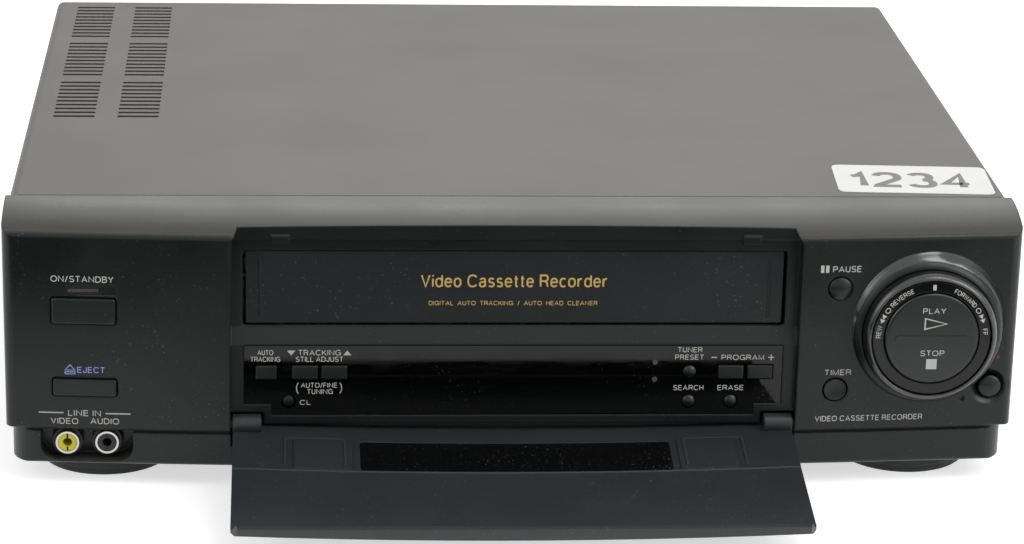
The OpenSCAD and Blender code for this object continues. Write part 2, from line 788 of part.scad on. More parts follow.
// A rectangular cap with a soft front edge, leaning by slope along its width
module soft_cap(x, z, w, h, r, edge, y0, y1, slope = 0) {
  steps = [for (k = [0:3]) 90 * k / 3];
  translate([x, 0, z])
    rotate([90, 0, 0])
      loft(concat(
        [[for (p = round_rect(w, h, r)) [p[0], p[1], -y1]]],
        [for (a = steps) let (in = 2 * edge * (1 - cos(a))) [for (p = round_rect(w - in, h - in, r))
          [p[0], p[1], -y0 - edge * (1 - sin(a)) - slope * p[0]]]]));
}

// What holds a button in its hole: a flange behind the wall, and a stem to its switch
module button_back(x, z, w, h, wall_y) {
  rect_y(x, z, w + 0.9, h + 1.8, 0.6, wall_y + loose_gap, wall_y + loose_gap + 0.9);
  disc_y(x, z, 2.4, wall_y + loose_gap, switch_y - button_travel - 0.1, 24);
}

module face_button(x, z, w, h) {
  soft_cap(x, z, w, h, 1, 0.7, front_y(x) - face_proud, button_boss + loose_gap + 0.5, x / bow_y);
  button_back(x, z, w, h, button_boss);
}

module window_button(x, z, w) {
  soft_cap(x, z, w, small_button_h, 0.5, 0.5, lower_floor_y - window_proud,
           window_wall_y + loose_gap + 0.5);
  button_back(x, z, w, small_button_h, window_wall_y);
}

// A round cap, domed when rise is above zero and dished when it is below
module round_cap(x, z, d, rise, y0, y1) {
  s = abs(rise);
  r = (pow(d / 2 - 0.4, 2) + s * s) / (2 * s);
  a = asin((d / 2 - 0.4) / r);
  translate([x, y1, z])
    rotate([90, 0, 0])
      rotate_extrude($fn = 64)
        polygon(concat([[0, 0], [d / 2, 0], [d / 2, y1 - y0 - s - 0.3]],
          [for (i = [0:6]) let (t = a * (1 - i / 6))
            [r * sin(t), rise > 0 ? y1 - y0 - r + r * cos(t) : y1 - y0 - s + r - r * cos(t)]]));
}

module round_button(x, z, d, rise, y_front, wall_y) {
  round_cap(x, z, d, rise, y_front, wall_y + loose_gap + 0.5);
  disc_y(x, z, d + 1.8, wall_y + loose_gap, wall_y + loose_gap + 0.9, 48);
  disc_y(x, z, 2.4, wall_y + loose_gap, switch_y - button_travel - 0.1, 24);
}

module window_round(x, z) {
  round_button(x, z, round_button_d, 0.7, lower_floor_y - window_proud, window_wall_y);
}

module power_button() {
  color("#1f2123") face_button(left_x, power_z, long_button_w, power_h);
}

module eject_button() {
  color("#1f2123") face_button(left_x, eject_z, long_button_w, eject_h);
}

module auto_tracking_button() {
  color("#1b1d1f") window_button(auto_x, upper_row_z, pair_button_w - 1.6);
}

module tracking_down_button() {
  color("#1b1d1f") window_button(down_x, upper_row_z, pair_button_w);
}

module tracking_up_button() {
  color("#1b1d1f") window_button(up_x, upper_row_z, pair_button_w);
}

module clear_button() {
  color("#1b1d1f")
    round_button(clear_x, lower_row_z, round_button_d, 0.4, lower_floor_y + 0.4, window_wall_y);
}

module tuner_preset_button() {
  color("#1b1d1f") window_round(tuner_x, upper_row_z);
}

module search_button() {
  color("#1b1d1f") window_round(tuner_x, lower_row_z);
}

module erase_button() {
  color("#1b1d1f") window_round(erase_x, lower_row_z);
}

module program_down_button() {
  color("#1b1d1f") window_button(program_down_x, upper_row_z, pair_button_w);
}

module program_up_button() {
  color("#1b1d1f") window_button(program_up_x, upper_row_z, pair_button_w);
}

module pause_button() {
  color("#1f2123")
    round_button(pause_x, pause_z, pause_d, 0.9, front_y(pause_x) - face_proud - 0.6, button_boss);
}

module timer_button() {
  color("#2a2c2e") round_button(pause_x, timer_z, timer_d, -0.7, front_y(pause_x) - 0.3, button_boss);
}

module record_button() {
  color("#1f2123")
    round_button(record_x, record_z, record_d, 0.9, front_y(record_x) - face_proud, button_boss);
}

module on_dial() {
  translate([dial_x, well_floor_y, dial_z])
    rotate([90, 0, 0])
      children();
}

module shuttle_ring() {
  color("#141516")
  on_dial()
    rotate_extrude($fn = 128)
      polygon(concat([[ring_bore / 2, loose_gap], [ring_d / 2, loose_gap]],
        [for (i = [0:8]) let (a = 90 * i / 8)
          [ring_bore / 2 + 0.25 + (ring_d / 2 - ring_bore / 2 - 0.25) * cos(a),
           ring_front_h - ring_round + ring_round * sin(a)]],
        [[ring_bore / 2, ring_front_h - 0.4]]));
}

module dial_scale() {
  color("#0e0f10")
  difference() {
    union() {
      on_dial()
        rotate_extrude($fn = 128)
          polygon([[scale_d / 2 - 1.4, 0], [scale_d / 2, 0], [scale_d / 2, scale_front_h - 0.3],
                   [scale_d / 2 - 0.3, scale_front_h], [scale_bore / 2, scale_front_h],
                   [scale_bore / 2, scale_front_h - scale_plate_t],
                   [scale_d / 2 - 1.4, scale_front_h - scale_plate_t]]);
      // Lugs that carry the pivot of the play and stop disc
      for (s = [-1, 1])
        translate([dial_x, 0, dial_z])
          mirrored_box(s, scale_bore / 2 - 3, scale_d / 2 - 0.9, rock_y - 3, well_floor_y, -3, 3);
    }
    rod_x(dial_x - scale_bore / 2, dial_x + scale_bore / 2, rock_y, dial_z, rock_pin_d + 2 * running_gap);
  }
}

module play_stop_disc() {
  color("#1c1e20")
  union() {
    translate([dial_x, disc_front_y + disc_t, dial_z])
      rotate([90, 0, 0])
        rotate_extrude($fn = 128)
          polygon([[0, 0], [disc_d / 2, 0], [disc_d / 2, disc_t - 0.5], [disc_d / 2 - 0.4, disc_t - 0.1],
                   [disc_d / 2 - 1.2, disc_t], [0, disc_t + 0.15]]);
    rect_y(dial_x, dial_z, 26, 2.2, 0.8, disc_front_y - 0.5, disc_front_y + 0.5);
    // Bridge to the pivot, and two stems to the switches
    box(dial_x - scale_bore / 2 + 3.5, dial_x + scale_bore / 2 - 3.5, rock_y - 2, rock_y + 2,
        dial_z - 2, dial_z + 2);
    box(dial_x - 4, dial_x + 4, disc_front_y + 1, rock_y, dial_z - 2, dial_z + 2);
    rod_x(dial_x - scale_bore / 2 + 0.5, dial_x + scale_bore / 2 - 0.5, rock_y, dial_z, rock_pin_d);
    for (s = [-1, 1])
      disc_y(dial_x, dial_z + s * rock_arm, 2.4, disc_front_y + 1, switch_y - rock_travel, 24);
  }
}

module indicator_lenses() {
  color("#5b1a16")
  union() {
    rect_y(left_x, standby_z, 10.8, 1.3, 0.3, front_y(left_x) + 0.3, switch_y + 1);
    for (z = led_z)
      disc_y(led_x, z, 2, lower_floor_y + 0.1, front_board_y, 32);
    box(left_x - 3, left_x + 3, switch_y + 0.8, front_board_y, standby_z - 1.7, standby_z + 1.7);
  }
}

module phono_insulator(x) {
  difference() {
    union() {
      disc_y(x, jack_z, phono_d - 2 * shell_t - 0.1, jack_front_y + 0.3, pocket_back_y + 2, 48);
      box(x - 6, x + 6, pocket_back_y + 1.6, front_board_y, jack_z - 5, jack_z + 6);
    }
    disc_y(x, jack_z, phono_bore, jack_front_y - 1, pocket_back_y + 1, 48);
  }
}

module video_jack() {
  color("#c9b82e") phono_insulator(phono_x()[0]);
}

module audio_jack() {
  color("#151617") phono_insulator(phono_x()[1]);
}

module jack_shells() {
  color("#b9bab5")
  for (x = phono_x())
    difference() {
      disc_y(x, jack_z, phono_d, jack_front_y, pocket_back_y, 48);
      disc_y(x, jack_z, phono_d - 2 * shell_t, jack_front_y - 1, pocket_back_y + 1, 48);
    }
}

// A tact switch on a front board, its plunger towards the button
module tact_switch(x, z) {
  box(x - 3, x + 3, switch_y + 1, front_board_y + 0.2, z - 3, z + 3);
  disc_y(x, z, 3.4, switch_y, switch_y + 1.2, 32);
}

module front_boards() {
  y0 = front_board_y;
  y1 = front_board_y + board_t;
  x0 = bay_w / 2 + 3.7;
  color("#b08d4c")
  union() {
    box(-x0 + 0.3, x0 - 0.3, y0, y1, front_board_z, slot_z - 6);
    box(-body_w / 2 + 9, -x0 - 0.3, y0, y1, front_board_z, power_z + 12);
    box(x0 + 0.3, body_w / 2 - 6.5, y0, y1, front_board_z, pause_z + 9);
    for (x = [auto_x, down_x, up_x, tuner_x, program_down_x, program_up_x])
      tact_switch(x, upper_row_z);
    for (x = [clear_x, tuner_x, erase_x])
      tact_switch(x, lower_row_z);
    tact_switch(left_x, power_z);
    tact_switch(left_x, eject_z);
    tact_switch(pause_x, pause_z);
    tact_switch(pause_x, timer_z);
    tact_switch(record_x, record_z);
    for (s = [-1, 1])
      tact_switch(dial_x, dial_z + s * rock_arm);
  }
}

module fluorescent_display() {
  color("#3a4a48")
  union() {
    box(display_x0, display_x1, seat_back + 1.4, front_board_y - 3,
        window_z + 3.6, window_z + window_h - 3.2);
    for (x = [display_x0 + 4:8:display_x1 - 4])
      box(x - 0.5, x + 0.5, front_board_y - 3.4, front_board_y, window_z + 3.8, window_z + 4.6);
  }
}

// Section of the cover: a rounded channel that ends at z0, set in by t
function cover_outline(t, z0) = let (w = shell_w / 2 - t, r = cover_r - t) concat(
  [[-w, z0], [w, z0]], arc(w - r, cover_z - t - r, r, 0, 90, 5),
  arc(-w + r, cover_z - t - r, r, 90, 180, 5));

module top_cover() {
  tongue_x = shell_w / 2 - 12;
  tongue_z = body_h - panel_wall - 0.1;
  color("#57544f")
  difference() {
    union() {
      difference() {
        plate_y(cover_outline(0, cover_sides_z), ledge_d, body_d);
        plate_y(cover_outline(cover_t, cover_sides_z - 1), ledge_d - 1, body_d + 1);
      }
      // Lip turned down at the back, and the tongue that slips under the ledge
      box(-tongue_x - 6, tongue_x + 6, body_d - cover_t, body_d, body_h - 8, cover_z);
      box(-tongue_x, tongue_x, ledge_d, ledge_d + cover_t, tongue_z - cover_t, cover_z);
      box(-tongue_x, tongue_x, ledge_d - 4, ledge_d + cover_t, tongue_z - cover_t, tongue_z);
    }
    for (x = vent_x, g = [0:2], i = [0:vent_count - 1])
      box(x - vent_len / 2, x + vent_len / 2, vent_y0 + g * vent_group_pitch + i * vent_pitch - vent_w / 2,
          vent_y0 + g * vent_group_pitch + i * vent_pitch + vent_w / 2, body_h - 2, body_h + 1);
    for (s = [-1, 1], y = cover_screw_y)
      rod_x(s > 0 ? shell_w / 2 - 2 : -shell_w / 2 - 1, s > 0 ? shell_w / 2 + 1 : -shell_w / 2 + 2,
            y, cover_screw_z, screw_d + 0.2);
    for (x = rear_screw_x)
      disc_y(x, rear_screw_z, screw_d + 0.2, body_d - 2, body_d + 1, 24);
  }
}

// A domed screw whose head lies on z 0 and whose shank points down
module screw() {
  difference() {
    rotate_extrude($fn = 32)
      polygon([[0, -4], [screw_d / 2, -4], [screw_d / 2, 0], [3.4, 0], [3.3, 0.7], [2.6, 1.2], [1.4, 1.5],
               [0, 1.6]]);
    for (a = [0, 90])
      rotate([0, 0, a])
        translate([-0.3, -1.7, 0.7])
          cube([0.6, 3.4, 2]);
  }
}

module cover_screws() {
  color("#8b8c8a") {
    for (s = [-1, 1], y = cover_screw_y)
      translate([s * shell_w / 2, y, cover_screw_z])
        rotate([0, s * 90, 0])
          screw();
    for (x = rear_screw_x)
      translate([x, body_d, rear_screw_z])
        rotate([-90, 0, 0])
          screw();
  }
}

module bottom_frame() {
  x1 = frame_w / 2;
  tongue_x = [x1 / 3, 2 * x1 / 3];
  tongue_z = skirt_z + panel_wall;
  color("#3b3d3c")
  difference() {
    union() {
      box(-x1, x1, ledge_d, rear_y, foot_h, floor_top);
      for (s = [-1, 1]) {
        mirrored_box(s, x1 - frame_wall, x1, ledge_d, rear_y, foot_h, floor_top + frame_wall_h);
        // Tongues over the floor of the front moulding
        for (x = tongue_x) {
          mirrored_box(s, x - 8, x + 8, ledge_d - 8, ledge_d + 2, tongue_z, tongue_z + 1.6);
          mirrored_box(s, x - 8, x + 8, ledge_d, ledge_d + 2, foot_h, tongue_z + 1.6);
        }
        // Deck posts and board posts
        for (y = deck_post_y)
          post(s * deck_post_x, y, floor_top - 1, deck_top - deck_t, 8);
        for (y = board_post_y)
          post(s * board_post_x, y, floor_top - 1, main_board_z, 6, 32);
      }
      // Ribs across the floor
      for (y = [foot_y[0] + 40, foot_y[0] + 150])
        box(-x1 + 1, x1 - 1, y - 0.8, y + 0.8, floor_top - 0.5, floor_top + 1);
      post(capstan_x, capstan_y, floor_top - 1, belt_z - 0.5, 6);
    }
    for (x = [-foot_x, foot_x], y = foot_y)
      post(x, y, foot_h - 1, floor_top + 1, foot_plug_d);
    // Vent slots in the floor
    for (s = [-1, 1], i = [0:8])
      mirrored_box(s, foot_x - 22, foot_x + 6, foot_y[0] + 80 + i * 8, foot_y[0] + 83 + i * 8,
                   foot_h - 1, floor_top + 1.5);
    for (s = [-1, 1], y = cover_screw_y)
      rod_x(s > 0 ? x1 - 3 : -x1 - 1, s > 0 ? x1 + 1 : -x1 + 3, y, cover_screw_z, screw_d + 0.1);
  }
}

// A round foot with a ribbed edge and a plug that snaps into the floor
module foot(x, y) {
  r = foot_d / 2;
  plug_r = foot_plug_d / 2 - running_gap;
  translate([x, y, 0])
    rotate_extrude($fn = 96)
      polygon([[0, 1], [r - 9, 1], [r - 9, 0], [r - 2.5, 0], [r - 1.8, 0.6], [r - 1.2, 3], [r - 0.8, 3.4],
               [r, foot_h - 1.6], [r, foot_h], [plug_r, foot_h], [plug_r, floor_top + 0.6],
               [plug_r - 1, floor_top + 1.4], [0, floor_top + 1.4]]);
}

module front_feet() {
  color("#1d1e1f") {
    foot(-foot_x, foot_y[0]);
    foot(foot_x, foot_y[0]);
  }
}

module rear_feet() {
  color("#1d1e1f") {
    foot(-foot_x, foot_y[1]);
    foot(foot_x, foot_y[1]);
  }
}

module rear_panel() {
  color("#8f9190")
  difference() {
    plate_y(cover_outline(cover_t + 0.3, foot_h + 0.4), rear_y, rear_y + rear_t);
    rect_y(inlet_x, socket_z, inlet_w, inlet_h, 2, rear_y - 1, rear_y + 2);
    for (x = scart_x)
      rect_y(x, panel_socket_z, scart_w, scart_h, 1.5, rear_y - 1, rear_y + 2);
    for (x = aerial_x)
      disc_y(x, panel_socket_z, aerial_d, rear_y - 1, rear_y + 2, 48);
    for (i = [0:11])
      box(inlet_x - 14 + i * 4, inlet_x - 12 + i * 4, rear_y - 1, rear_y + 2, socket_z + 22, socket_z + 42);
    for (x = rear_screw_x)
      disc_y(x, rear_screw_z, screw_d + 0.1, rear_y - 1, rear_y + 2, 24);
  }
}

module main_board() {
  color("#9a7b3c")
  translate([0, 0, main_board_z])
    linear_extrude(height = board_t)
      polygon([[-board_x1, board_y0], [-board_x0, board_y0], [-board_x0, deck_y1 + 6],
               [board_x0, deck_y1 + 6], [board_x0, board_y0], [board_x1, board_y0],
               [board_x1, rear_y - 4], [-board_x1, rear_y - 4]]);
}

module transformer() {
  y = transformer_y;
  color("#6b6f73")
  union() {
    box(inlet_x - 21, inlet_x + 21, y - 8, y + 8, board_top + 3, board_top + transformer_h);
    box(inlet_x - 25, inlet_x + 25, y - 6, y + 6, board_top, board_top + 3);
    translate([inlet_x, y, board_top + 7])
      linear_extrude(height = 24)
        polygon(round_rect(28, 34, 5));
  }
}

module power_board() {
  y0 = power_board_y;
  color("#8a8f52")
  union() {
    box(inlet_x - power_board_w / 2, inlet_x + power_board_w / 2, y0, y0 + power_board_d,
        board_top, board_top + board_t);
    for (p = [[-11, 16, 18, 30], [10, 14, 12, 22], [12, 34, 10, 18]])
      post(inlet_x + p[0], y0 + p[1], board_top + 1, board_top + p[3], p[2]);
    // Heat sink with fins
    box(inlet_x - 18, inlet_x + 18, y0 + 62, y0 + 64, board_top + 1, board_top + 34);
    for (i = [0:6])
      box(inlet_x - 18 + i * 5.8, inlet_x - 16.8 + i * 5.8, y0 + 63, y0 + 74,
          board_top + 3, board_top + 34);
    box(inlet_x - 20, inlet_x - 4, y0 + 34, y0 + 50, board_top + 1, board_top + 16);
  }
}

module tuner_box() {
  color("#b4b6b4")
  difference() {
    union() {
      box(tuner_x0, tuner_x0 + tuner_w, rear_y - tuner_d, rear_y, board_top, panel_socket_z + 12);
      for (x = aerial_x)
        disc_y(x, panel_socket_z, aerial_d - 0.4, rear_y - 2, rear_y + rear_t + aerial_reach);
    }
    for (x = aerial_x)
      disc_y(x, panel_socket_z, aerial_bore, rear_y + rear_t, rear_y + rear_t + aerial_reach + 1);
  }
}

module scart_sockets() {
  color("#202224")
  for (x = scart_x)
    difference() {
      union() {
        rect_y(x, panel_socket_z, scart_w - 0.4, scart_h - 0.4, 1.4, rear_y - 16, rear_y + rear_t + 1.4);
        box(x - scart_w / 2 + 3, x + scart_w / 2 - 3, rear_y - 16, rear_y - 4,
            board_top, panel_socket_z - 4);
      }
      difference() {
        translate([x, 0, panel_socket_z])
          plate_y([[-21, -5], [18, -5], [21, -2], [21, 5], [-21, 5]], rear_y - 8, rear_y + 5);
        box(x - 18, x + 17, rear_y - 9, rear_y + 1, panel_socket_z - 1.4, panel_socket_z + 1.4);
      }
    }
}

module mains_inlet() {
  color("#17181a")
  union() {
    difference() {
      union() {
        rect_y(inlet_x, socket_z, inlet_w - 0.4, inlet_h - 0.4, 1.8, rear_y - 18, rear_y + rear_t + 1);
        box(inlet_x - 8, inlet_x + 8, rear_y - 18, rear_y - 4, board_top, socket_z - 5);
      }
      for (s = [-1, 1])
        disc_y(inlet_x + s * 3.6, socket_z, 8.2, rear_y - 12, rear_y + 5, 40);
      box(inlet_x - 3.6, inlet_x + 3.6, rear_y - 12, rear_y + 5, socket_z - 3.2, socket_z + 3.2);
    }
    for (s = [-1, 1])
      disc_y(inlet_x + s * 4.3, socket_z, 2.4, rear_y - 14, rear_y - 3, 24);
  }
}

module guide_slot(s) {
  translate([s * guide_x[0], guide_y[0], deck_top - deck_t - 1])
    rotate([0, 0, -s * guide_angle])
      translate([-guide_keel / 2 - 0.4, -guide_keel / 2 - 0.6, 0])
        cube([guide_keel + 0.8, guide_travel + guide_keel + 1.2, deck_t + 2]);
}

module deck_plate() {
  z0 = deck_top - deck_t;
  color("#a7a9a6")
  difference() {
    union() {
      difference() {
        box(-deck_w / 2, deck_w / 2, deck_y0, deck_y1, z0, deck_top);
        for (s = [-1, 1])
          guide_slot(s);
        for (s = [-1, 1], y = [reel_y - 34, reel_y + 38])
          post(s * 84, y, z0 - 1, deck_top + 1, 9);
      }
      for (s = [-1, 1]) {
        mirrored_box(s, deck_w / 2 - 1.4, deck_w / 2, deck_y0, deck_y1, z0, deck_top + 5);
        post(s * reel_pitch / 2, reel_y, z0, loaded_z + 6, reel_post_d);
        post(s * reel_pitch / 2, reel_y, z0, deck_top + 2.2, 9);
      }
      post(capstan_x, capstan_y, z0 - 0.8, deck_top + 7, 10);
      post(0, clutch_y, z0 - 2, deck_top + 1, 10);
      post(arm_x, arm_y, z0, capstan_top, arm_post_d);
      post(arm_x, arm_y, z0, deck_top + 7, 9);
    }
    post(capstan_x, capstan_y, z0 - 2, deck_top + 8, capstan_d + 2 * running_gap);
    post(0, clutch_y, z0 - 3, deck_top + 2, clutch_shaft_d + 2 * running_gap);
  }
}

module leaned() {
  translate([0, drum_y, drum_z])
    rotate([0, drum_lean, 0])
      children();
}

module drum_base() {
  color("#b9bcbe")
  difference() {
    union() {
      post(0, drum_y, deck_top, deck_top + 2.5, drum_d + 2, 96);
      leaned()
        post(0, 0, -9, drum_split, drum_d, 96);
    }
    box(-drum_d, drum_d, drum_y - drum_d, drum_y + drum_d, deck_top - 20, deck_top);
    leaned()
      post(0, 0, -3, drum_split + 1, drum_shaft_d + 2 * running_gap);
    // The edge that guides the tape
    leaned()
      difference() {
        post(0, 0, drum_split - 6, drum_split + 1, drum_d + 4, 96);
        post(0, 0, drum_split - 7, drum_split + 2, drum_d - 1, 96);
      }
  }
}

module head_drum() {
  color("#d3d5d6")
  leaned()
    difference() {
      union() {
        post(0, 0, drum_split + loose_gap, drum_h, drum_d - 1, 96);
        post(0, 0, -2, drum_split + 1, drum_shaft_d);
        post(0, 0, drum_h - 1, drum_h + 3, 22, 64);
      }
      // Windows for the heads
      for (a = [0:90:270])
        rotate([0, 0, a])
          translate([drum_d / 2 - 4, -2, drum_split])
            cube([6, 4, 3]);
      for (a = [45:90:315])
        rotate([0, 0, a])
          post(drum_d / 2 - 12, 0, drum_h - 4, drum_h + 1, 5, 24);
    }
}

module capstan() {
  color("#c4c6c8")
  union() {
    post(capstan_x, capstan_y, belt_z - 0.2, capstan_top, capstan_d);
    post(capstan_x, capstan_y, flywheel_z, flywheel_z + flywheel_t, flywheel_d, 96);
    post(capstan_x, capstan_y, belt_z - 0.2, flywheel_z + 0.5, pulley_d, 64);
  }
}

module capstan_stator() {
  z1 = deck_top - deck_t;
  z0 = flywheel_z + flywheel_t + 1.2;
  color("#3d6b45")
  difference() {
    union() {
      box(capstan_x - 19, capstan_x + 28, capstan_y - 26, capstan_y + 26, z0, z0 + 1);
      for (x = [-16, 24], y = [-22, 22])
        post(capstan_x + x, capstan_y + y, z0, z1, 5, 24);
    }
    post(capstan_x, capstan_y, z0 - 1, z1 + 1, 13);
  }
}

module pinch_roller() {
  color("#1b1b1c")
  difference() {
    union() {
      post(roller_x, roller_y, loaded_z + 4, loaded_z + 18, pinch_d, 64);
      post(roller_x, roller_y, loaded_z + 3.4, loaded_z + 18.6, 6);
    }
    post(roller_x, roller_y, loaded_z, loaded_z + 20, arm_pin_d + 2 * running_gap);
  }
}

module pinch_arm() {
  z0 = deck_top + 7.3;
  color("#9fa2a0")
  difference() {
    union() {
      post(arm_x, arm_y, z0, loaded_z + 16, 9);
      translate([arm_x, arm_y, z0])
        rotate([0, 0, arm_rest])
          translate([0, -3, 0])
            cube([arm_len, 6, arm_bar_t]);
      post(roller_x, roller_y, z0, z0 + arm_bar_t, 8);
      post(roller_x, roller_y, z0, loaded_z + 19.2, arm_pin_d);
      post(roller_x, roller_y, loaded_z + 18.9, loaded_z + 19.9, 5);
    }
    post(arm_x, arm_y, z0 - 1, loaded_z + 18, arm_post_d + 2 * running_gap);
  }
}

module reel(x) {
  z0 = deck_top + 2.5;
  translate([x, reel_y, 0])
    difference() {
      union() {
        translate([0, 0, z0])
          linear_extrude(height = 3)
            polygon(gear(56, reel_d / 2 - 1.4, reel_d / 2));
        post(0, 0, z0, z0 + 4.2, reel_d - 8, 64);
        post(0, 0, z0, loaded_z - 0.6, 24);
        post(0, 0, z0, loaded_z + 7, 13);
        for (a = [0:60:300])
          rotate([0, 0, a])
            box(5, 8.4, -0.9, 0.9, z0, loaded_z + 6);
      }
      post(0, 0, z0 - 1, loaded_z + 8, reel_post_d + 2 * running_gap);
    }
}

module supply_reel() {
  color("#e2e0d8") reel(-reel_pitch / 2);
}

module takeup_reel() {
  color("#e2e0d8") reel(reel_pitch / 2);
}

module idler_arm() {
  z0 = deck_top + 1.3;
  color("#c9c4b4")
  difference() {
    union() {
      box(-3.5, 3.5, clutch_y - idler_len, clutch_y, z0, z0 + 1.4);
      post(0, clutch_y, z0, z0 + 4, 9);
      post(0, clutch_y - idler_len, z0, z0 + 1.4, 7);
      post(0, clutch_y - idler_len, z0, z0 + 6.4, idler_post_d);
    }
    post(0, clutch_y, z0 - 1, z0 + 5, clutch_shaft_d + 2 * running_gap);
  }
}

module idler_gear() {
  z0 = deck_top + 3;
  color("#f0eee4")
  translate([0, clutch_y - idler_len, 0])
    difference() {
      union() {
        translate([0, 0, z0])
          linear_extrude(height = 2.6)
            polygon(gear(28, idler_d / 2 - 1.4, idler_d / 2));
        post(0, 0, z0, z0 + 4, 8);
      }
      post(0, 0, z0 - 1, z0 + 5, idler_post_d + 2 * running_gap);
    }
}

// Path round the two pulleys, grown outwards by g
function belt_outline(g) = let (
  c = [capstan_x, capstan_y - clutch_y], d = norm(c), dir = atan2(c[1], c[0]),
  b = acos((clutch_d - pulley_d) / 2 / d)) concat(
  arc(0, clutch_y, clutch_d / 2 + g, dir + b, dir + 360 - b, 24),
  arc(capstan_x, capstan_y, pulley_d / 2 + g, dir - b, dir + b, 24));

module drive_belt() {
  color("#161616")
  translate([0, 0, belt_z])
    linear_extrude(height = belt_h)
      difference() {
        polygon(belt_outline(1.5));
        polygon(belt_outline(loose_gap));
      }
}

module clutch_pulley() {
  color("#d9d6cc")
  union() {
    post(0, clutch_y, belt_z, belt_z + belt_h, clutch_d, 64);
    post(0, clutch_y, belt_z + belt_h, belt_z + belt_h + 1.4, clutch_d - 8, 48);
    post(0, clutch_y, belt_z, deck_top + 6, clutch_shaft_d);
  }
}

// A loading guide at the mouth of the cassette, with its roller and leaning post
module tape_guide(s) {
  z0 = deck_top + loose_gap;
  k = guide_keel / 2;
  translate([s * guide_x[0], guide_y[0], 0])
    rotate([0, 0, -s * guide_angle])
      union() {
        box(-6, 6, -6, 6, z0, z0 + 5);
        box(-k, k, -k, k, deck_top - deck_t - 1.6, z0 + 1);
        box(-4.4, 4.4, -4.4, 4.4, deck_top - deck_t - 1.8, deck_top - deck_t - loose_gap);
        post(0, 2.4, z0, loaded_z + 22, 2.4);
        post(0, 2.4, z0 + 5, z0 + 7, 6);
        post(0, 2.4, loaded_z + 2, loaded_z + 19, 6);
        post(0, 2.4, loaded_z + 20.4, loaded_z + 22, 6);
        translate([0, -3.4, z0 + 3])
          rotate([0, s * 9, 0])
            cylinder(d = 2.4, h = 26, $fn = 24);
      }
}

module supply_guide() {
  color("#a9acae") tape_guide(-1);
}

module takeup_guide() {
  color("#a9acae") tape_guide(1);
}

// Erase head on the supply side, sound and control head on the take-up side
module fixed_heads() {
  color("#b5a98a") {
    box(-capstan_x - 7, -capstan_x + 5, capstan_y - 4, capstan_y + 8, deck_top, deck_top + 4);
    box(-capstan_x - 5, -capstan_x + 4, capstan_y - 2, capstan_y + 6, deck_top + 3.5, head_top);
    box(capstan_x - 17, capstan_x - 3, capstan_y + 14, capstan_y + 30, deck_top, deck_top + 4);
    box(capstan_x - 15, capstan_x - 5, capstan_y + 14, capstan_y + 26, deck_top + 3.5, head_top);
    post(-capstan_x + 14, capstan_y + 2, deck_top, head_top, 4);
  }
}

module loading_motor() {
  x = -deck_w / 2 + motor_d;
  y = drum_y + 8;
  z = deck_top + motor_d / 2 + 1;
  color("#7f8487")
  union() {
    translate([x, y, z])
      rotate([90, 0, 0])
        rotate_extrude($fn = 64)
          polygon([[0, -14], [motor_d / 2 - 1, -14], [motor_d / 2, -13], [motor_d / 2, 11],
                   [motor_d / 2 - 2, 13], [4, 13], [4, 15], [1, 15], [1, 30], [0, 30]]);
    box(x - 10, x + 10, y - 10, y + 12, deck_top, deck_top + 4);
    translate([x, y - 17, z])
      rotate([90, 0, 0])
        cylinder(d = motor_d / 4, h = 11, $fn = 32);
  }
}

module cassette_holder() {
  w = holder_w / 2;
  z0 = entry_z - 0.7;
  z1 = entry_z + cassette_h + 0.7;
  color("#c3c5c4")
  difference() {
    union() {
      box(-w - holder_t, w + holder_t, holder_y0, holder_y0 + holder_d, z1, z1 + holder_t);
      for (s = [-1, 1]) {
        mirrored_box(s, w, w + holder_t, holder_y0, holder_y0 + holder_d, z0 - holder_t, z1 + holder_t);
        mirrored_box(s, w - 16, w + holder_t, holder_y0, holder_y0 + holder_d, z0 - holder_t, z0);
        // Stop behind the cassette
        mirrored_box(s, w - 26, w + 0.2, stop_y, stop_y + holder_t, z0 + 8, z1 + 0.4);
        for (y = pin_y)
          mirrored_rod(s, w + holder_t / 2, pin_end_x, y, pin_z, pin_d, 32);
      }
      // Stiffening ribs pressed into the top
      for (x = [-w * 2 / 3, 0, w * 2 / 3])
        box(x - 2, x + 2, holder_y0 + 4, holder_y0 + holder_d - 4, z1 + 0.5, z1 + holder_t + 0.8);
    }
    // Openings round the springs that press on the cassette
    for (x = [-w / 3, w / 3])
      difference() {
        box(x - 9, x + 9, holder_y0 + 8, holder_y0 + 32, z1 - 1, z1 + 3);
        box(x - 5, x + 5, holder_y0 + 5, holder_y0 + 27, z1 - 2, z1 + 4);
      }
  }
}

module carriage_brackets() {
  window_z0 = pin_z - load_down - pin_d / 2 - 0.4;
  window_z1 = pin_z + pin_d / 2 + loose_gap;
  y0 = holder_y0 - 2;
  y1 = pin_y[1] + load_in + 16;
  color("#b8bab7")
  for (s = [-1, 1])
    difference() {
      union() {
        mirrored_box(s, bracket_x, bracket_x + bracket_t, y0, y1, deck_top, bracket_top);
        for (y = [y0, y1 - 14])
          mirrored_box(s, bracket_x - 7, bracket_x + bracket_t, y, y + 14, deck_top, deck_top + bracket_t);
      }
      mirrored_box(s, bracket_x - 1, bracket_x + 3, pin_y[0] - pin_d / 2 - loose_gap,
                   pin_y[1] + load_in + pin_d / 2 + loose_gap, window_z0, window_z1);
    }
}

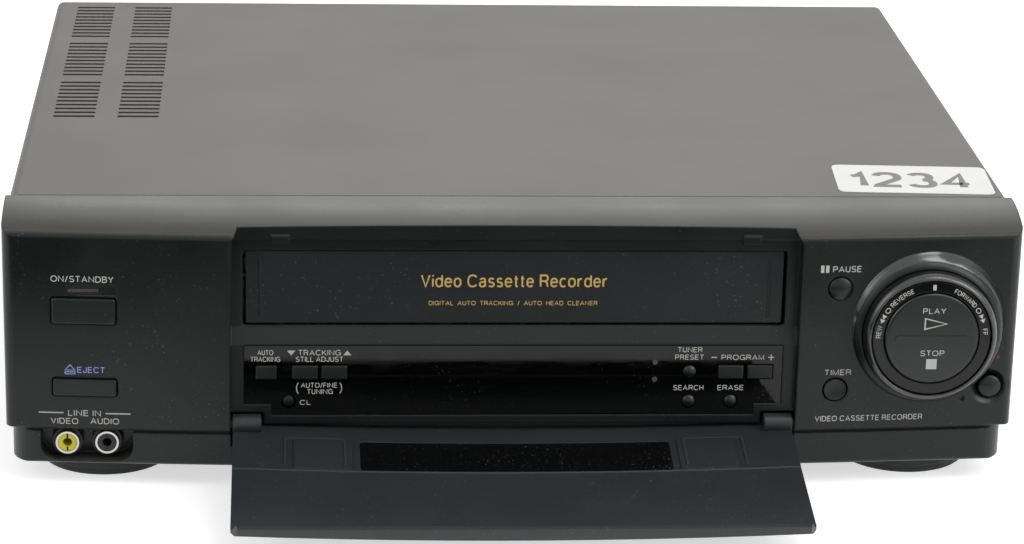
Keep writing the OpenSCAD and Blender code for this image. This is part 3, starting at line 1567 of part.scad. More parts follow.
module carriage_sliders() {
  y0 = holder_y0;
  y1 = holder_y0 + holder_d;
  z1 = bracket_top + loose_gap;
  pin_r = pin_d / 2 + running_gap;
  color("#d8d5c8")
  for (s = [-1, 1])
    difference() {
      union() {
        mirrored_box(s, slider_x, slider_x + slider_t, y0, y1, pin_z - load_down - 6, z1 + slider_t);
        // Hook over the top edge of the bracket
        mirrored_box(s, bracket_x - 2, slider_x + slider_t, y0, y1, z1, z1 + slider_t);
        mirrored_box(s, bracket_x - 2, bracket_x - loose_gap, y0, y1, z1 - 3.4, z1 + slider_t);
        // Rack teeth along the lower edge
        for (i = [0:9])
          mirrored_box(s, slider_x, slider_x + slider_t, y0 + 1 + i * 4, y0 + 3 + i * 4,
                       pin_z - load_down - 8, pin_z - load_down - 5);
      }
      for (y = pin_y)
        mirrored_box(s, slider_x - 1, slider_x + 3, y - pin_r, y + pin_r,
                     pin_z - load_down - pin_d / 2 - 0.4, pin_z + pin_d / 2 + loose_gap);
    }
}

// Puts the origin under the middle of the recorder with its door open
module placed() {
  translate([0, -origin_y, 0])
    children();
}

placed() front_panel();
placed() control_door();
placed() door_window();
placed() cassette_flap();
placed() display_window();
placed() power_button();
placed() eject_button();
placed() auto_tracking_button();
placed() tracking_down_button();
placed() tracking_up_button();
placed() clear_button();
placed() tuner_preset_button();
placed() search_button();
placed() erase_button();
placed() program_down_button();
placed() program_up_button();
placed() pause_button();
placed() timer_button();
placed() record_button();
placed() shuttle_ring();
placed() dial_scale();
placed() play_stop_disc();
placed() indicator_lenses();
placed() video_jack();
placed() audio_jack();
placed() jack_shells();
placed() front_boards();
placed() fluorescent_display();
placed() top_cover();
placed() cover_screws();
placed() bottom_frame();
placed() rear_panel();
placed() front_feet();
placed() rear_feet();
placed() main_board();
placed() transformer();
placed() power_board();
placed() tuner_box();
placed() scart_sockets();
placed() mains_inlet();
placed() deck_plate();
placed() drum_base();
placed() head_drum();
placed() capstan();
placed() capstan_stator();
placed() pinch_roller();
placed() pinch_arm();
placed() supply_reel();
placed() takeup_reel();
placed() idler_arm();
placed() idler_gear();
placed() drive_belt();
placed() clutch_pulley();
placed() supply_guide();
placed() takeup_guide();
placed() fixed_heads();
placed() loading_motor();
placed() cassette_holder();
placed() carriage_brackets();
placed() carriage_sliders();
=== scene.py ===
"""Finishes, lettering and small fittings of a video cassette recorder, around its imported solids.

Run as a script in Blender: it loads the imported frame, registers its operators, runs them in order, and leaves
the dressed recorder in its studio. Lengths are in metres, and names that end in _mm are in millimetres.
X points right, Y to the back and Z up; Z is 0 under the feet.
"""
import json
import math

import bpy
from bpy.props import FloatProperty, FloatVectorProperty, PointerProperty, StringProperty
from bpy.types import Operator, Panel, PropertyGroup
from mathutils import Matrix, Vector
from mathutils.bvhtree import BVHTree


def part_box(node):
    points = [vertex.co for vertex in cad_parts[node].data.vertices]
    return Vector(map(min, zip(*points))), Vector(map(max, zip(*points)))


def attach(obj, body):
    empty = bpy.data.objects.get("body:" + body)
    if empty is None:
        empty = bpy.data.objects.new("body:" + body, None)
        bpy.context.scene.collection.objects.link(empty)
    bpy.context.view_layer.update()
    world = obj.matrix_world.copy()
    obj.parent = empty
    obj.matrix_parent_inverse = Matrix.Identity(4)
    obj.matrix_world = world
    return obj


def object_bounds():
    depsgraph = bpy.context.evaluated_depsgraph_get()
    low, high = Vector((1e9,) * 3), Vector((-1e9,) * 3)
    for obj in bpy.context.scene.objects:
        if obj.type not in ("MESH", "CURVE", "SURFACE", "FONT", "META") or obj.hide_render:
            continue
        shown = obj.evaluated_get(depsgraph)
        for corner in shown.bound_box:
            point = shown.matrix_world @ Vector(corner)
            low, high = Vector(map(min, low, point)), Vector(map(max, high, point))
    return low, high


bl_info = {
    "name": "Video recorder dressing",
    "version": (1, 0, 0),
    "blender": (4, 5, 0),
    "location": "3D View > Sidebar > Recorder",
    "description": "Finishes, lettering and small fittings of a video cassette recorder",
    "category": "Object",
}

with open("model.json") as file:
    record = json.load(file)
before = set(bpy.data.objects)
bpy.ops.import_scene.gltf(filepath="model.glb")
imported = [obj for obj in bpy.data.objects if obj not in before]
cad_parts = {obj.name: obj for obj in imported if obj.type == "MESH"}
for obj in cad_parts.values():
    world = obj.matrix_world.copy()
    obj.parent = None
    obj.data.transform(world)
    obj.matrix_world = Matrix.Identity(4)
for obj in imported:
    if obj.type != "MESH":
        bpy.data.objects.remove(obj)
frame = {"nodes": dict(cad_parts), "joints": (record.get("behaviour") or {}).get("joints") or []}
cad_box = [list(corner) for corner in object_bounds()]
NODES = frame["nodes"]
JOINTS = {joint["name"]: joint for joint in frame["joints"]}

MM = 0.001
BUTTONS = [f"{key}_button" for key in (
    "power", "eject", "pause", "timer", "record", "auto_tracking", "tracking_down", "tracking_up", "clear",
    "tuner_preset", "search", "erase", "program_down", "program_up")]


def pivot(joint):
    """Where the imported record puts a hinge"""
    return Vector(JOINTS[joint]["pos_m"])


def middle(node):
    """The middle of a CAD node's box, in millimetres"""
    return sum(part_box(node), Vector()) / 2 / MM


DIAL = pivot("shuttle_turn")
# The front's flat plane, from which the bow swells, lies just behind the door's hinge
FRONT_Y = pivot("door_hinge").y + 1.5 * MM


# Sizes and colours that a user would change

def colour_property(name, description, default):
    return FloatVectorProperty(name=name, description=description, default=default, size=3, min=0, max=1,
                               subtype="COLOR")


def power_property(name, description, default):
    return FloatProperty(name=name, description=description, default=default, min=0, max=100, unit="POWER")


class RecorderColours(PropertyGroup):
    """Colours of the recorder's finishes"""
    front: colour_property("Front", "Moulded front", (0.006, 0.0072, 0.0074))
    door: colour_property("Door", "Control door", (0.0235, 0.0262, 0.0275))
    flap: colour_property("Flap", "Cassette flap", (0.0085, 0.0112, 0.012))
    keys: colour_property("Keys", "Caps of the keys", (0.0062, 0.0072, 0.0076))
    dial: colour_property("Dial", "Shuttle ring, its scale and the disc", (0.0075, 0.0088, 0.009))
    cover: colour_property("Cover", "Paint of the top cover", (0.076, 0.0695, 0.063))
    pane: colour_property("Panes", "Smoked panes of the window and the door", (0.0011, 0.0013, 0.0014))
    ink: colour_property("Lettering", "Pale ink of the lettering", (0.5, 0.5, 0.47))
    blue_ink: colour_property("Eject lettering", "Blue ink of the eject mark", (0.3, 0.36, 0.72))
    gold_ink: colour_property("Flap lettering", "Gold ink on the cassette flap", (0.62, 0.43, 0.14))
    yellow: colour_property("Video socket", "Insulator of the video socket", (0.62, 0.55, 0.05))
    label: colour_property("Stock label", "Paper of the stock label", (0.86, 0.86, 0.85))


class RecorderSizes(PropertyGroup):
    """Sizes of what is printed or stuck on the recorder"""
    ink_lift: FloatProperty(name="Ink height", description="How far the ink stands proud of the plastic",
                            default=0.03 * MM, min=0.01 * MM, max=0.1 * MM, unit="LENGTH", precision=5)
    ink_depth: FloatProperty(name="Ink depth", description="How far the ink reaches into the plastic",
                             default=0.05 * MM, min=0.02 * MM, max=0.1 * MM, unit="LENGTH", precision=5)
    label_width: FloatProperty(name="Label width", description="Width of the stock label on the cover",
                               default=56.8 * MM, min=0.03, max=0.09, unit="LENGTH")
    label_depth: FloatProperty(name="Label depth", description="Depth of the stock label on the cover",
                               default=33.4 * MM, min=0.02, max=0.05, unit="LENGTH")
    label_turn: FloatProperty(name="Label turn", description="How far the stock label is stuck askew",
                              default=math.radians(-3.2), min=-0.5, max=0.5, subtype="ANGLE")
    label_number: StringProperty(name="Label number", description="Number on the stock label, of digits 1 to 4",
                                 default="1234")


class RecorderStudio(PropertyGroup):
    """Strengths of the studio's lamps"""
    sky: FloatProperty(name="Sky", description="Strength of the even light from all round",
                       default=0.44, min=0, max=2)
    key: power_property("Key lamp", "Power of the soft lamp at the front right", 10)
    fill: power_property("Fill lamp", "Power of the soft lamp at the left", 5)
    back: power_property("Back lamp", "Power of the soft lamp over the back", 6)
    top: power_property("Top lamp", "Power of the small lamp overhead, which glints on edges", 3.5)
    card_gap: FloatProperty(name="Card gap", description="Floor left bare between the recorder and the dark card",
                            default=200 * MM, min=0.1, max=0.6, unit="LENGTH")


# Finishes

# Pale grey mixed into faces that turn upward: partly painted sheen, partly a film of dust
DUST_AND_SHEEN = (0.32, 0.3, 0.28)
DUST_SPECKS = (0.32, 0.32, 0.3)
# Scale at which the wave texture has one line per metre
ONE_WAVE = 0.31


def add_node(tree, kind, inputs=None, **settings):
    """Adds a shader node. Each input is a value, or the output of another node"""
    made = tree.nodes.new(kind)
    for key, value in settings.items():
        setattr(made, key, value)
    for key, value in (inputs or {}).items():
        if isinstance(value, bpy.types.NodeSocket):
            tree.links.new(value, made.inputs[key])
        else:
            made.inputs[key].default_value = value
    return made


class Finish:
    """A node material in the making, with short ways to add what the finishes here have in common"""

    def __init__(self, name, colour, roughness, metallic=0.0, specular=0.5):
        self.material = bpy.data.materials.new(name)
        self.material.use_nodes = True
        self.tree = self.material.node_tree
        self.shader = self.tree.nodes["Principled BSDF"]
        for socket, value in (("Base Color", (*colour, 1)), ("Roughness", roughness), ("Metallic", metallic),
                              ("Specular IOR Level", specular)):
            self.shader.inputs[socket].default_value = value
        self.colour = (*colour, 1)
        self.colour_out = None
        self.normal_out = None
        self.roughness = roughness
        self.place = self.node("ShaderNodeTexCoord").outputs["Object"]

    def node(self, kind, inputs=None, **settings):
        return add_node(self.tree, kind, inputs, **settings)

    def stretched(self, scale, centre=(0, 0, 0)):
        """Object coordinates about a centre, scaled along each axis"""
        shifted = self.node("ShaderNodeVectorMath", {0: self.place, 1: centre}, operation="SUBTRACT")
        scaled = self.node("ShaderNodeVectorMath", {0: shifted.outputs[0], 1: scale}, operation="MULTIPLY")
        return scaled.outputs[0]

    def noise(self, size_mm, detail=2.0, place=None):
        made = self.node("ShaderNodeTexNoise", {"Vector": place or self.place, "Scale": 1 / (size_mm * MM),
                                                "Detail": detail})
        return made.outputs["Fac"]

    def ramp(self, value, low, high, out_low=0.0, out_high=1.0):
        return self.node("ShaderNodeMapRange", {"Value": value, "From Min": low, "From Max": high,
                                                "To Min": out_low, "To Max": out_high}).outputs["Result"]

    def blend(self, share, other):
        """Mixes another colour into the base colour where share is high"""
        mix = self.node("ShaderNodeMix", {"Factor": share, "A": self.colour_out or self.colour, "B": (*other, 1)},
                        data_type="RGBA")
        self.colour_out = mix.outputs["Result"]
        return self

    def mottle(self, size_mm, amount):
        """Faint unevenness of the colour"""
        shade = tuple(min(1.0, c * (1 + amount)) for c in self.colour[:3])
        return self.blend(self.ramp(self.noise(size_mm, 4), 0.35, 0.7), shade)

    def bump(self, height, depth_mm):
        inputs = {"Height": height, "Distance": depth_mm * MM}
        if self.normal_out:
            inputs["Normal"] = self.normal_out
        self.normal_out = self.node("ShaderNodeBump", inputs).outputs["Normal"]
        return self

    def grain(self, size_mm, depth_mm, detail=3):
        """Fine unevenness of the surface"""
        return self.bump(self.noise(size_mm, detail), depth_mm)

    def upward_dust_and_sheen(self, share):
        """Lightens what faces up towards a pale grey: painted sheen where faces turn upward, and a thin film of
        dust
        """
        facing = self.node("ShaderNodeNewGeometry").outputs["Normal"]
        upward = self.node("ShaderNodeSeparateXYZ", {0: facing}).outputs["Z"]
        return self.blend(self.ramp(upward, 0.5, 0.9, 0, share), DUST_AND_SHEEN)

    def polish(self, size_mm, spread):
        """Roughness that wanders, as where a surface is handled or wiped"""
        value = self.ramp(self.noise(size_mm, 3), 0.3, 0.7, self.roughness - spread, self.roughness + spread)
        self.tree.links.new(value, self.shader.inputs["Roughness"])
        return self

    def dust(self, share, size_mm=0.9):
        """Sparse specks of dust, gathered in drifts"""
        specks = self.ramp(self.noise(size_mm, 1), 0.72 - 0.05 * share, 0.8)
        drifts = self.ramp(self.noise(28, 3), 0.45, 0.7, 0.15, 1)
        both = self.node("ShaderNodeMath", {0: specks, 1: drifts}, operation="MULTIPLY").outputs[0]
        limited = self.node("ShaderNodeMath", {0: both, 1: 0.6 * share}, operation="MULTIPLY").outputs[0]
        return self.blend(limited, DUST_SPECKS)

    def worn(self, radius_mm):
        """Edges catch the light as if they had a small radius"""
        self.normal_out = self.node("ShaderNodeBevel", {"Radius": radius_mm * MM}, samples=4).outputs["Normal"]
        return self

    def done(self):
        if self.colour_out:
            self.tree.links.new(self.colour_out, self.shader.inputs["Base Color"])
        if self.normal_out:
            self.tree.links.new(self.normal_out, self.shader.inputs["Normal"])
        return self.material


def moulded(name, colour, roughness, specular=0.34, grain_mm=0.35, depth_mm=0.012, dust=0.5, edge_mm=0.5,
            upward_dust_and_sheen=0.0):
    """Moulded plastic with a fine spark-eroded grain and softened edges"""
    return (Finish(name, colour, roughness, specular=specular).worn(edge_mm).mottle(22, 0.12).upward_dust_and_sheen(upward_dust_and_sheen)
            .grain(grain_mm, depth_mm).polish(35, 0.05).dust(dust).done())


def painted(name, colour, roughness, specular=0.5):
    """Stoved paint on sheet, with a fine orange peel and a little dust"""
    return (Finish(name, colour, roughness, specular=specular).mottle(60, 0.1).grain(0.5, 0.02)
            .grain(90, 0.05, 1).polish(70, 0.03).dust(0.25, 0.8).done())


def rolled(name, colour, roughness, spangle=0.25):
    """Plated sheet, brushed along X, with a faint crystal pattern"""
    made = Finish(name, colour, roughness, metallic=1.0)
    crystals = made.node("ShaderNodeTexVoronoi", {"Vector": made.place, "Scale": 1 / (9 * MM)})
    made.blend(made.ramp(crystals.outputs["Color"], 0.2, 0.9, 0, spangle), tuple(c * 0.72 for c in colour))
    scratch = made.noise(1, 2, made.stretched((0.06, 1.6, 1.6)))
    return made.bump(scratch, 0.012).mottle(30, 0.08).polish(14, 0.07).done()


def turned(name, colour, centre, roughness, pitch_mm=0.5):
    """Metal turned about an upright axis, with the fine rings that a lathe leaves"""
    made = Finish(name, colour, roughness, metallic=1.0)
    rings = made.node("ShaderNodeTexWave", {"Vector": made.stretched((1, 1, 0), centre),
                                            "Scale": ONE_WAVE / (pitch_mm * MM), "Distortion": 0.4, "Detail": 2.0},
                      wave_type="RINGS", rings_direction="Z")
    return made.bump(rings.outputs["Fac"], 0.012).mottle(12, 0.12).polish(6, 0.06).done()


def laminate(name, colour, trace, pads):
    """Circuit laminate with tracks and tinned pads"""
    made = Finish(name, colour, 0.5)
    flat = made.stretched((1, 1, 0.2))
    cells = made.node("ShaderNodeTexVoronoi", {"Vector": flat, "Scale": 1 / (6.5 * MM)},
                      feature="DISTANCE_TO_EDGE", distance="CHEBYCHEV")
    made.blend(made.ramp(cells.outputs["Distance"], 0.10, 0.13, 0.75, 0), trace)
    spots = made.node("ShaderNodeTexVoronoi", {"Vector": flat, "Scale": 1 / (3.2 * MM), "Randomness": 0.35})
    made.blend(made.ramp(spots.outputs["Distance"], 0.13, 0.17, 0.9, 0), pads)
    return made.mottle(9, 0.15).grain(0.8, 0.03).done()


def natural(name, colour):
    """Natural acetal, waxy and a little translucent, with flow marks"""
    made = Finish(name, colour, 0.38)
    made.shader.inputs["Subsurface Weight"].default_value = 0.12
    made.shader.inputs["Subsurface Scale"].default_value = 0.6 * MM
    return made.mottle(7, -0.12).grain(0.6, 0.01).polish(9, 0.06).done()


def rubbery(name, colour):
    """Matt rubber with a bloom"""
    return Finish(name, colour, 0.85, specular=0.3).mottle(5, 0.9).grain(0.25, 0.03).done()


def polished(name, colour, roughness, specular=0.5, dust=0.3):
    """Polished acrylic or glass with wipe marks and dust"""
    made = Finish(name, colour, roughness, specular=specular)
    wipes = made.noise(3, 2, made.stretched((0.25, 1, 1.6)))
    value = made.ramp(wipes, 0.35, 0.75, roughness, roughness + 0.06)
    made.tree.links.new(value, made.shader.inputs["Roughness"])
    return made.bump(made.noise(40, 1), 0.02).dust(dust, 0.7).done()


def printed(name, colour):
    """Screen-printed ink, a little thin in places"""
    dim = tuple(c * 0.7 for c in colour)
    made = Finish(name, colour, 0.55, specular=0.3)
    return made.blend(made.ramp(made.noise(0.6, 3), 0.5, 0.75, 0, 0.55), dim).grain(0.2, 0.01).done()


def laminations(name, colour):
    """Stacked and varnished iron sheets"""
    made = Finish(name, colour, 0.5, metallic=0.6)
    edges = made.node("ShaderNodeTexWave", {"Vector": made.place, "Scale": ONE_WAVE / (0.6 * MM),
                                            "Distortion": 0.6, "Detail": 1.0},
                      wave_type="BANDS", bands_direction="Z")
    made.blend(made.ramp(edges.outputs["Fac"], 0.2, 0.8, 0, 0.5), tuple(c * 0.45 for c in colour))
    return made.bump(edges.outputs["Fac"], 0.05).mottle(14, 0.3).done()


def dress(material, *nodes):
    """Gives CAD nodes their finish"""
    for name in nodes:
        slots = NODES[name].data.materials
        slots.clear()
        slots.append(material)


# Print and small shapes

def surface(node):
    """The faces of a CAD node, in which a line finds the place where print lies"""
    return BVHTree.FromObject(NODES[node], bpy.context.evaluated_depsgraph_get())


# For each way that print faces: where a mark's line starts, which way it runs, and the axis it runs along
FACINGS = {
    "front": (lambda u, v: (u, -1.0, v), Vector((0, 1, 0)), 1),
    "back": (lambda u, v: (-u, 1.0, v), Vector((0, -1, 0)), 1),
    "top": (lambda u, v: (u, v, 1.0), Vector((0, 0, -1)), 2),
}
SAME_POINT = 1e-4
SHARPEST_MITRE = 0.62


def strip(points, width, closed=False):
    """A line of some width as a flat shape: quads along its points"""
    points = [Vector(p) for p in points]
    points = [p for i, p in enumerate(points) if not i or (p - points[i - 1]).length > SAME_POINT]
    count = len(points)
    ways = [(points[(i + 1) % count] - p).normalized() for i, p in enumerate(points)]
    flat = []
    for i, p in enumerate(points):
        before = ways[i - 1] if i or closed else ways[i]
        after = ways[i] if i + 1 < count or closed else before
        along = (before + after).normalized()
        across = Vector((-along.y, along.x)) * (width / 2 / max(SHARPEST_MITRE, along.dot(before)))
        flat += [p + across, p - across]
    pairs = range(count if closed else count - 1)
    return flat, [(2 * i, 2 * i + 1, 2 * ((i + 1) % count) + 1, 2 * ((i + 1) % count)) for i in pairs]


def filled(points):
    """A flat shape from its outline"""
    return [Vector(p) for p in points], [tuple(range(len(points)))]


def block(width, height):
    """A filled rectangle about its middle"""
    w, h = width / 2, height / 2
    return filled([(-w, -h), (w, -h), (w, h), (-w, h)])


def bow(x, y, across, up, start, end, count=12, power=0.84):
    """Part of an oval between two angles in degrees. A power below 1 gives it the full shoulders of a letter"""
    points = []
    for i in range(count + 1):
        a = math.radians(start + (end - start) * i / count)
        c, s = math.cos(a), math.sin(a)
        points.append((x + across * math.copysign(abs(c) ** power, c), y + up * math.copysign(abs(s) ** power, s)))
    return points


def arc_points(x, y, radius, start, end, count):
    """Part of a circle between two angles in degrees"""
    return bow(x, y, radius, radius, start, end, count, 1)


def rounded(width, depth, radius):
    """A rectangle with round corners"""
    points = []
    for sx, sy, start in ((1, 1, 0), (-1, 1, 90), (-1, -1, 180), (1, -1, 270)):
        points += arc_points(sx * (width / 2 - radius), sy * (depth / 2 - radius), radius, start, start + 90, 6)
    return points


# Centre lines of the letters, where 1 is the height of a capital, and each letter's width
LETTERS = {
    "A": (0.68, [(0, 0), (0.34, 1), (0.68, 0)], [(0.13, 0.34), (0.55, 0.34)]),
    "B": (0.56, [(0, 0.53), (0, 1), (0.3, 1), *bow(0.3, 0.765, 0.22, 0.235, 90, -90), (0, 0.53)],
          [(0, 0.53), (0.3, 0.53), *bow(0.32, 0.265, 0.24, 0.265, 90, -90), (0, 0), (0, 0.53)]),
    "C": (0.66, bow(0.35, 0.5, 0.35, 0.5, 38, 322, 20)),
    "D": (0.62, [(0, 0), (0, 1), (0.28, 1), *bow(0.28, 0.5, 0.34, 0.5, 90, -90), (0, 0)]),
    "E": (0.52, [(0.51, 1), (0, 1), (0, 0), (0.52, 0)], [(0.05, 0.52), (0.47, 0.52)]),
    "F": (0.48, [(0.48, 1), (0, 1), (0, 0)], [(0.05, 0.5), (0.42, 0.5)]),
    "G": (0.7, bow(0.36, 0.5, 0.36, 0.5, 38, 335, 20), [(0.4, 0.47), (0.7, 0.47), (0.7, 0)]),
    "H": (0.56, [(0, 0), (0, 1)], [(0.56, 0), (0.56, 1)], [(0.05, 0.52), (0.51, 0.52)]),
    "I": (0, [(0, 0), (0, 1)]),
    "J": (0.42, [(0.42, 1), *bow(0.21, 0.25, 0.21, 0.25, 0, -180), (0, 0.32)]),
    "K": (0.56, [(0, 0), (0, 1)], [(0.54, 1), (0.03, 0.38)], [(0.2, 0.56), (0.58, 0)]),
    "L": (0.44, [(0, 1), (0, 0), (0.45, 0)]),
    "M": (0.68, [(0, 0), (0, 1), (0.34, 0.04), (0.68, 1), (0.68, 0)]),
    "N": (0.64, [(0, 0), (0, 1), (0.64, 0), (0.64, 1)]),
    "O": (0.74, bow(0.37, 0.5, 0.37, 0.5, 0, 360, 24)),
    "P": (0.54, [(0, 0), (0, 1), (0.32, 1), *bow(0.32, 0.735, 0.22, 0.265, 90, -90), (0.05, 0.47)]),
    "R": (0.58, [(0, 0), (0, 1), (0.34, 1), *bow(0.34, 0.745, 0.22, 0.255, 90, -90), (0.05, 0.49)],
          [(0.34, 0.46), (0.5, 0.36), (0.53, 0.12), (0.58, 0)]),
    "S": (0.56, [*bow(0.28, 0.75, 0.25, 0.25, 25, 262), *bow(0.28, 0.25, 0.28, 0.25, 82, -155)]),
    "T": (0.56, [(0, 1), (0.56, 1)], [(0.28, 0.96), (0.28, 0)]),
    "U": (0.56, [(0, 1), *bow(0.28, 0.3, 0.28, 0.3, 180, 360), (0.56, 1)]),
    "V": (0.62, [(0, 1), (0.31, 0), (0.62, 1)]),
    "W": (0.88, [(0, 1), (0.22, 0), (0.44, 1), (0.66, 0), (0.88, 1)]),
    "Y": (0.6, [(0, 1), (0.3, 0.46), (0.6, 1)], [(0.3, 0.5), (0.3, 0)]),
    "/": (0.3, [(0, -0.06), (0.3, 1.06)]),
    "1": (0.3, [(0, 0.74), (0.16, 0.8), (0.26, 1), (0.26, 0)]),
    "2": (0.56, [*bow(0.28, 0.71, 0.27, 0.29, 165, -32), (0.02, 0.06), (0, 0), (0.58, 0)]),
    "3": (0.56, [*bow(0.27, 0.76, 0.24, 0.24, 155, -80)], [*bow(0.27, 0.26, 0.28, 0.26, 82, -160)]),
    "4": (0.6, [(0.44, 0), (0.44, 1), (0, 0.27), (0.6, 0.27)]),
    "a": (0.45, [*bow(0.22, 0.53, 0.19, 0.19, 165, 0), (0.41, 0.12), (0.46, 0.01)],
          [(0.4, 0.42), *bow(0.19, 0.2, 0.19, 0.2, 90, 270), *bow(0.2, 0.2, 0.21, 0.2, -80, 0, 6)]),
    "c": (0.42, bow(0.23, 0.36, 0.23, 0.36, 48, 312, 16)),
    "d": (0.47, bow(0.235, 0.36, 0.235, 0.36, 0, 360, 20), [(0.47, 0), (0.47, 1)]),
    "e": (0.46, [(0.04, 0.38), (0.46, 0.38), *bow(0.23, 0.36, 0.23, 0.36, 4, 325, 18)]),
    "i": (0, [(0, 0), (0, 0.7)], [(0, 0.9), (0, 1.02)]),
    "o": (0.48, bow(0.24, 0.36, 0.24, 0.36, 0, 360, 20)),
    "r": (0.28, [(0, 0), (0, 0.7)], [(0, 0.4), (0.05, 0.58), (0.14, 0.68), (0.28, 0.7)]),
    "s": (0.4, [*bow(0.2, 0.54, 0.17, 0.18, 25, 262, 8), *bow(0.2, 0.18, 0.2, 0.18, 82, -155, 8)]),
    "t": (0.24, [(0.11, 0.94), (0.11, 0.12), (0.15, 0.02), (0.25, 0)], [(0, 0.7), (0.25, 0.7)]),
}


# Shares of a capital's height: the width of a stroke, the gap between two letters, and a space
STROKE, GAP, SPACE = 0.135, 0.13, 0.34


def word_lines(text, height, width, weight):
    """The centre lines of a word, centred, of the given height and width over all, and the width of its stroke"""
    pen = height * weight
    lines, along = [], 0.0
    for letter in text:
        if letter == " ":
            along += SPACE
            continue
        wide, *strokes = LETTERS[letter]
        lines += [[(along + p[0], p[1] - 0.5) for p in stroke] for stroke in strokes]
        along += wide + weight + GAP
    total = along - weight - GAP
    up = height - pen
    across = (width - pen) / total if width else up
    return [[Vector(((p[0] - total / 2) * across, p[1] * up)) for p in line] for line in lines], pen


HAIR = 0.004 * MM
RISES = 3


class Print:
    """Flat marks gathered into one thin piece that lies on a CAD face.

    Shapes are given in millimetres, as seen from outside. Strokes that cross in a letter stand a hair above one
    another, so that no two faces lie in one plane.
    """

    def __init__(self, name, ground, facing="front"):
        self.name, self.ground, self.facing = name, ground, facing
        self.flat, self.faces, self.rise = [], [], []

    def add(self, shape, x=0.0, z=0.0, turn=0.0, rise=0):
        flat, faces = shape
        base = len(self.flat)
        c, s = math.cos(turn), math.sin(turn)
        self.flat += [(x + p.x * c - p.y * s, z + p.x * s + p.y * c) for p in flat]
        self.rise += [rise] * len(flat)
        self.faces += [tuple(i + base for i in face) for face in faces]

    def word(self, text, x, z, height, width=None, weight=STROKE, turn=0.0):
        lines, pen = word_lines(text, height, width, weight)
        for i, line in enumerate(lines):
            self.add(strip(line, pen), x, z, turn, i % RISES)

    def bent_word(self, text, radius, angle, height, width, centre):
        """A word on an arc round a centre, its middle at an angle in degrees"""
        lines, pen = word_lines(text, height, width, STROKE)
        for i, line in enumerate(lines):
            bent = []
            for p in line:
                a = math.radians(angle) - p.x / radius
                bent.append((centre[0] + (radius + p.y) * math.cos(a), centre[1] + (radius + p.y) * math.sin(a)))
            self.add(strip(bent, pen), rise=i % RISES)

    def settle(self, body, material, lift, depth):
        """Lays the marks on the face, gives them their thickness, and makes the piece.

        A point that falls in a hole of the face takes the level of the point before it.
        """
        start, way, axis = FACINGS[self.facing]
        top, under, last = [], [], None
        for (u, v), rise in zip(self.flat, self.rise):
            point = Vector(start(u * MM, v * MM))
            at = self.ground.ray_cast(point, way)[0]
            last = at[axis] if at is not None else last
            if last is None:
                raise RuntimeError(f"{self.name}: nothing under the print at {u:.1f}, {v:.1f} mm")
            point[axis] = last
            top.append(point - way * (lift + rise * HAIR))
            under.append(point + way * depth)
        solid_from_faces(self.name, top, under, self.faces, body, material)

    def ink(self, body, material, sizes, slot="lettering"):
        """Settles the marks as print"""
        self.settle(body, material, sizes.ink_lift, sizes.ink_depth)


def solid_from_faces(name, top, under, faces, body, material):
    """A closed thin piece from its upper points, its lower points and its upper faces"""
    count = len(top)
    edges = dict.fromkeys(edge for face in faces for edge in zip(face, face[1:] + face[:1]))
    rim = [(a, b) for a, b in edges if (b, a) not in edges]
    all_faces = faces + [tuple(i + count for i in reversed(face)) for face in faces]
    all_faces += [(b, a, a + count, b + count) for a, b in rim]
    mesh = bpy.data.meshes.new(name)
    mesh.from_pydata([*top, *under], [], all_faces)
    mesh.validate()
    piece(name, mesh, body, material)


def piece(name, mesh, body, material):
    """Adds a mesh to the recorder, on one of its bodies and with one of its finishes"""
    made = bpy.data.objects.new(name, mesh)
    bpy.context.scene.collection.objects.link(made)
    mesh.materials.append(material)
    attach(made, body)


# Operators

class RecorderOperator(Operator):
    """What every step of the dressing has in common"""
    bl_options = {"REGISTER", "UNDO"}

    def execute(self, context):
        self.make(context.scene.recorder_colours, context.scene.recorder_sizes, context.scene.recorder_studio)
        return {"FINISHED"}


class RECORDER_OT_front_finish(RecorderOperator):
    """Finishes the moulded front, its door, its flap, its keys and its dial"""
    bl_idname = "recorder.front_finish"
    bl_label = "Front finishes"

    def make(self, colours, sizes, studio):
        # The front's upward faces, the ledge most, are lightened: painted sheen, and a film of dust
        dress(moulded("front_moulding", colours.front, 0.3, 0.32, edge_mm=1.0, upward_dust_and_sheen=0.13), "front_panel")
        dress(moulded("door_moulding", colours.door, 0.4, dust=0.8), "control_door")
        dress(moulded("flap_moulding", colours.flap, 0.34, dust=0.7), "cassette_flap")
        dress(moulded("key_moulding", colours.keys, 0.3, dust=0.3), *BUTTONS)
        dress(moulded("ring_moulding", colours.dial, 0.19, 0.95, dust=0.6, edge_mm=0.8), "shuttle_ring")
        dress(moulded("scale_moulding", (0.0022, 0.0022, 0.0025), 0.13, dust=0.2), "dial_scale")
        dress(moulded("disc_moulding", colours.dial, 0.3, 0.5, dust=0.2, edge_mm=0.15), "play_stop_disc")
        dress(polished("window_acrylic", colours.pane, 0.03, specular=0.32), "display_window")
        dress(polished("door_acrylic", colours.pane, 0.12, dust=1.0), "door_window")
        dress(polished("lens_plastic", (0.06, 0.055, 0.055), 0.2), "indicator_lenses")
        dress(moulded("video_insulator", colours.yellow, 0.3, grain_mm=0.2, depth_mm=0.004, dust=0.1),
              "video_jack")
        dress(moulded("audio_insulator", (0.02, 0.02, 0.022), 0.3, dust=0.1), "audio_jack")
        dress(rolled("jack_plating", (0.56, 0.55, 0.51), 0.3, 0.0), "jack_shells")


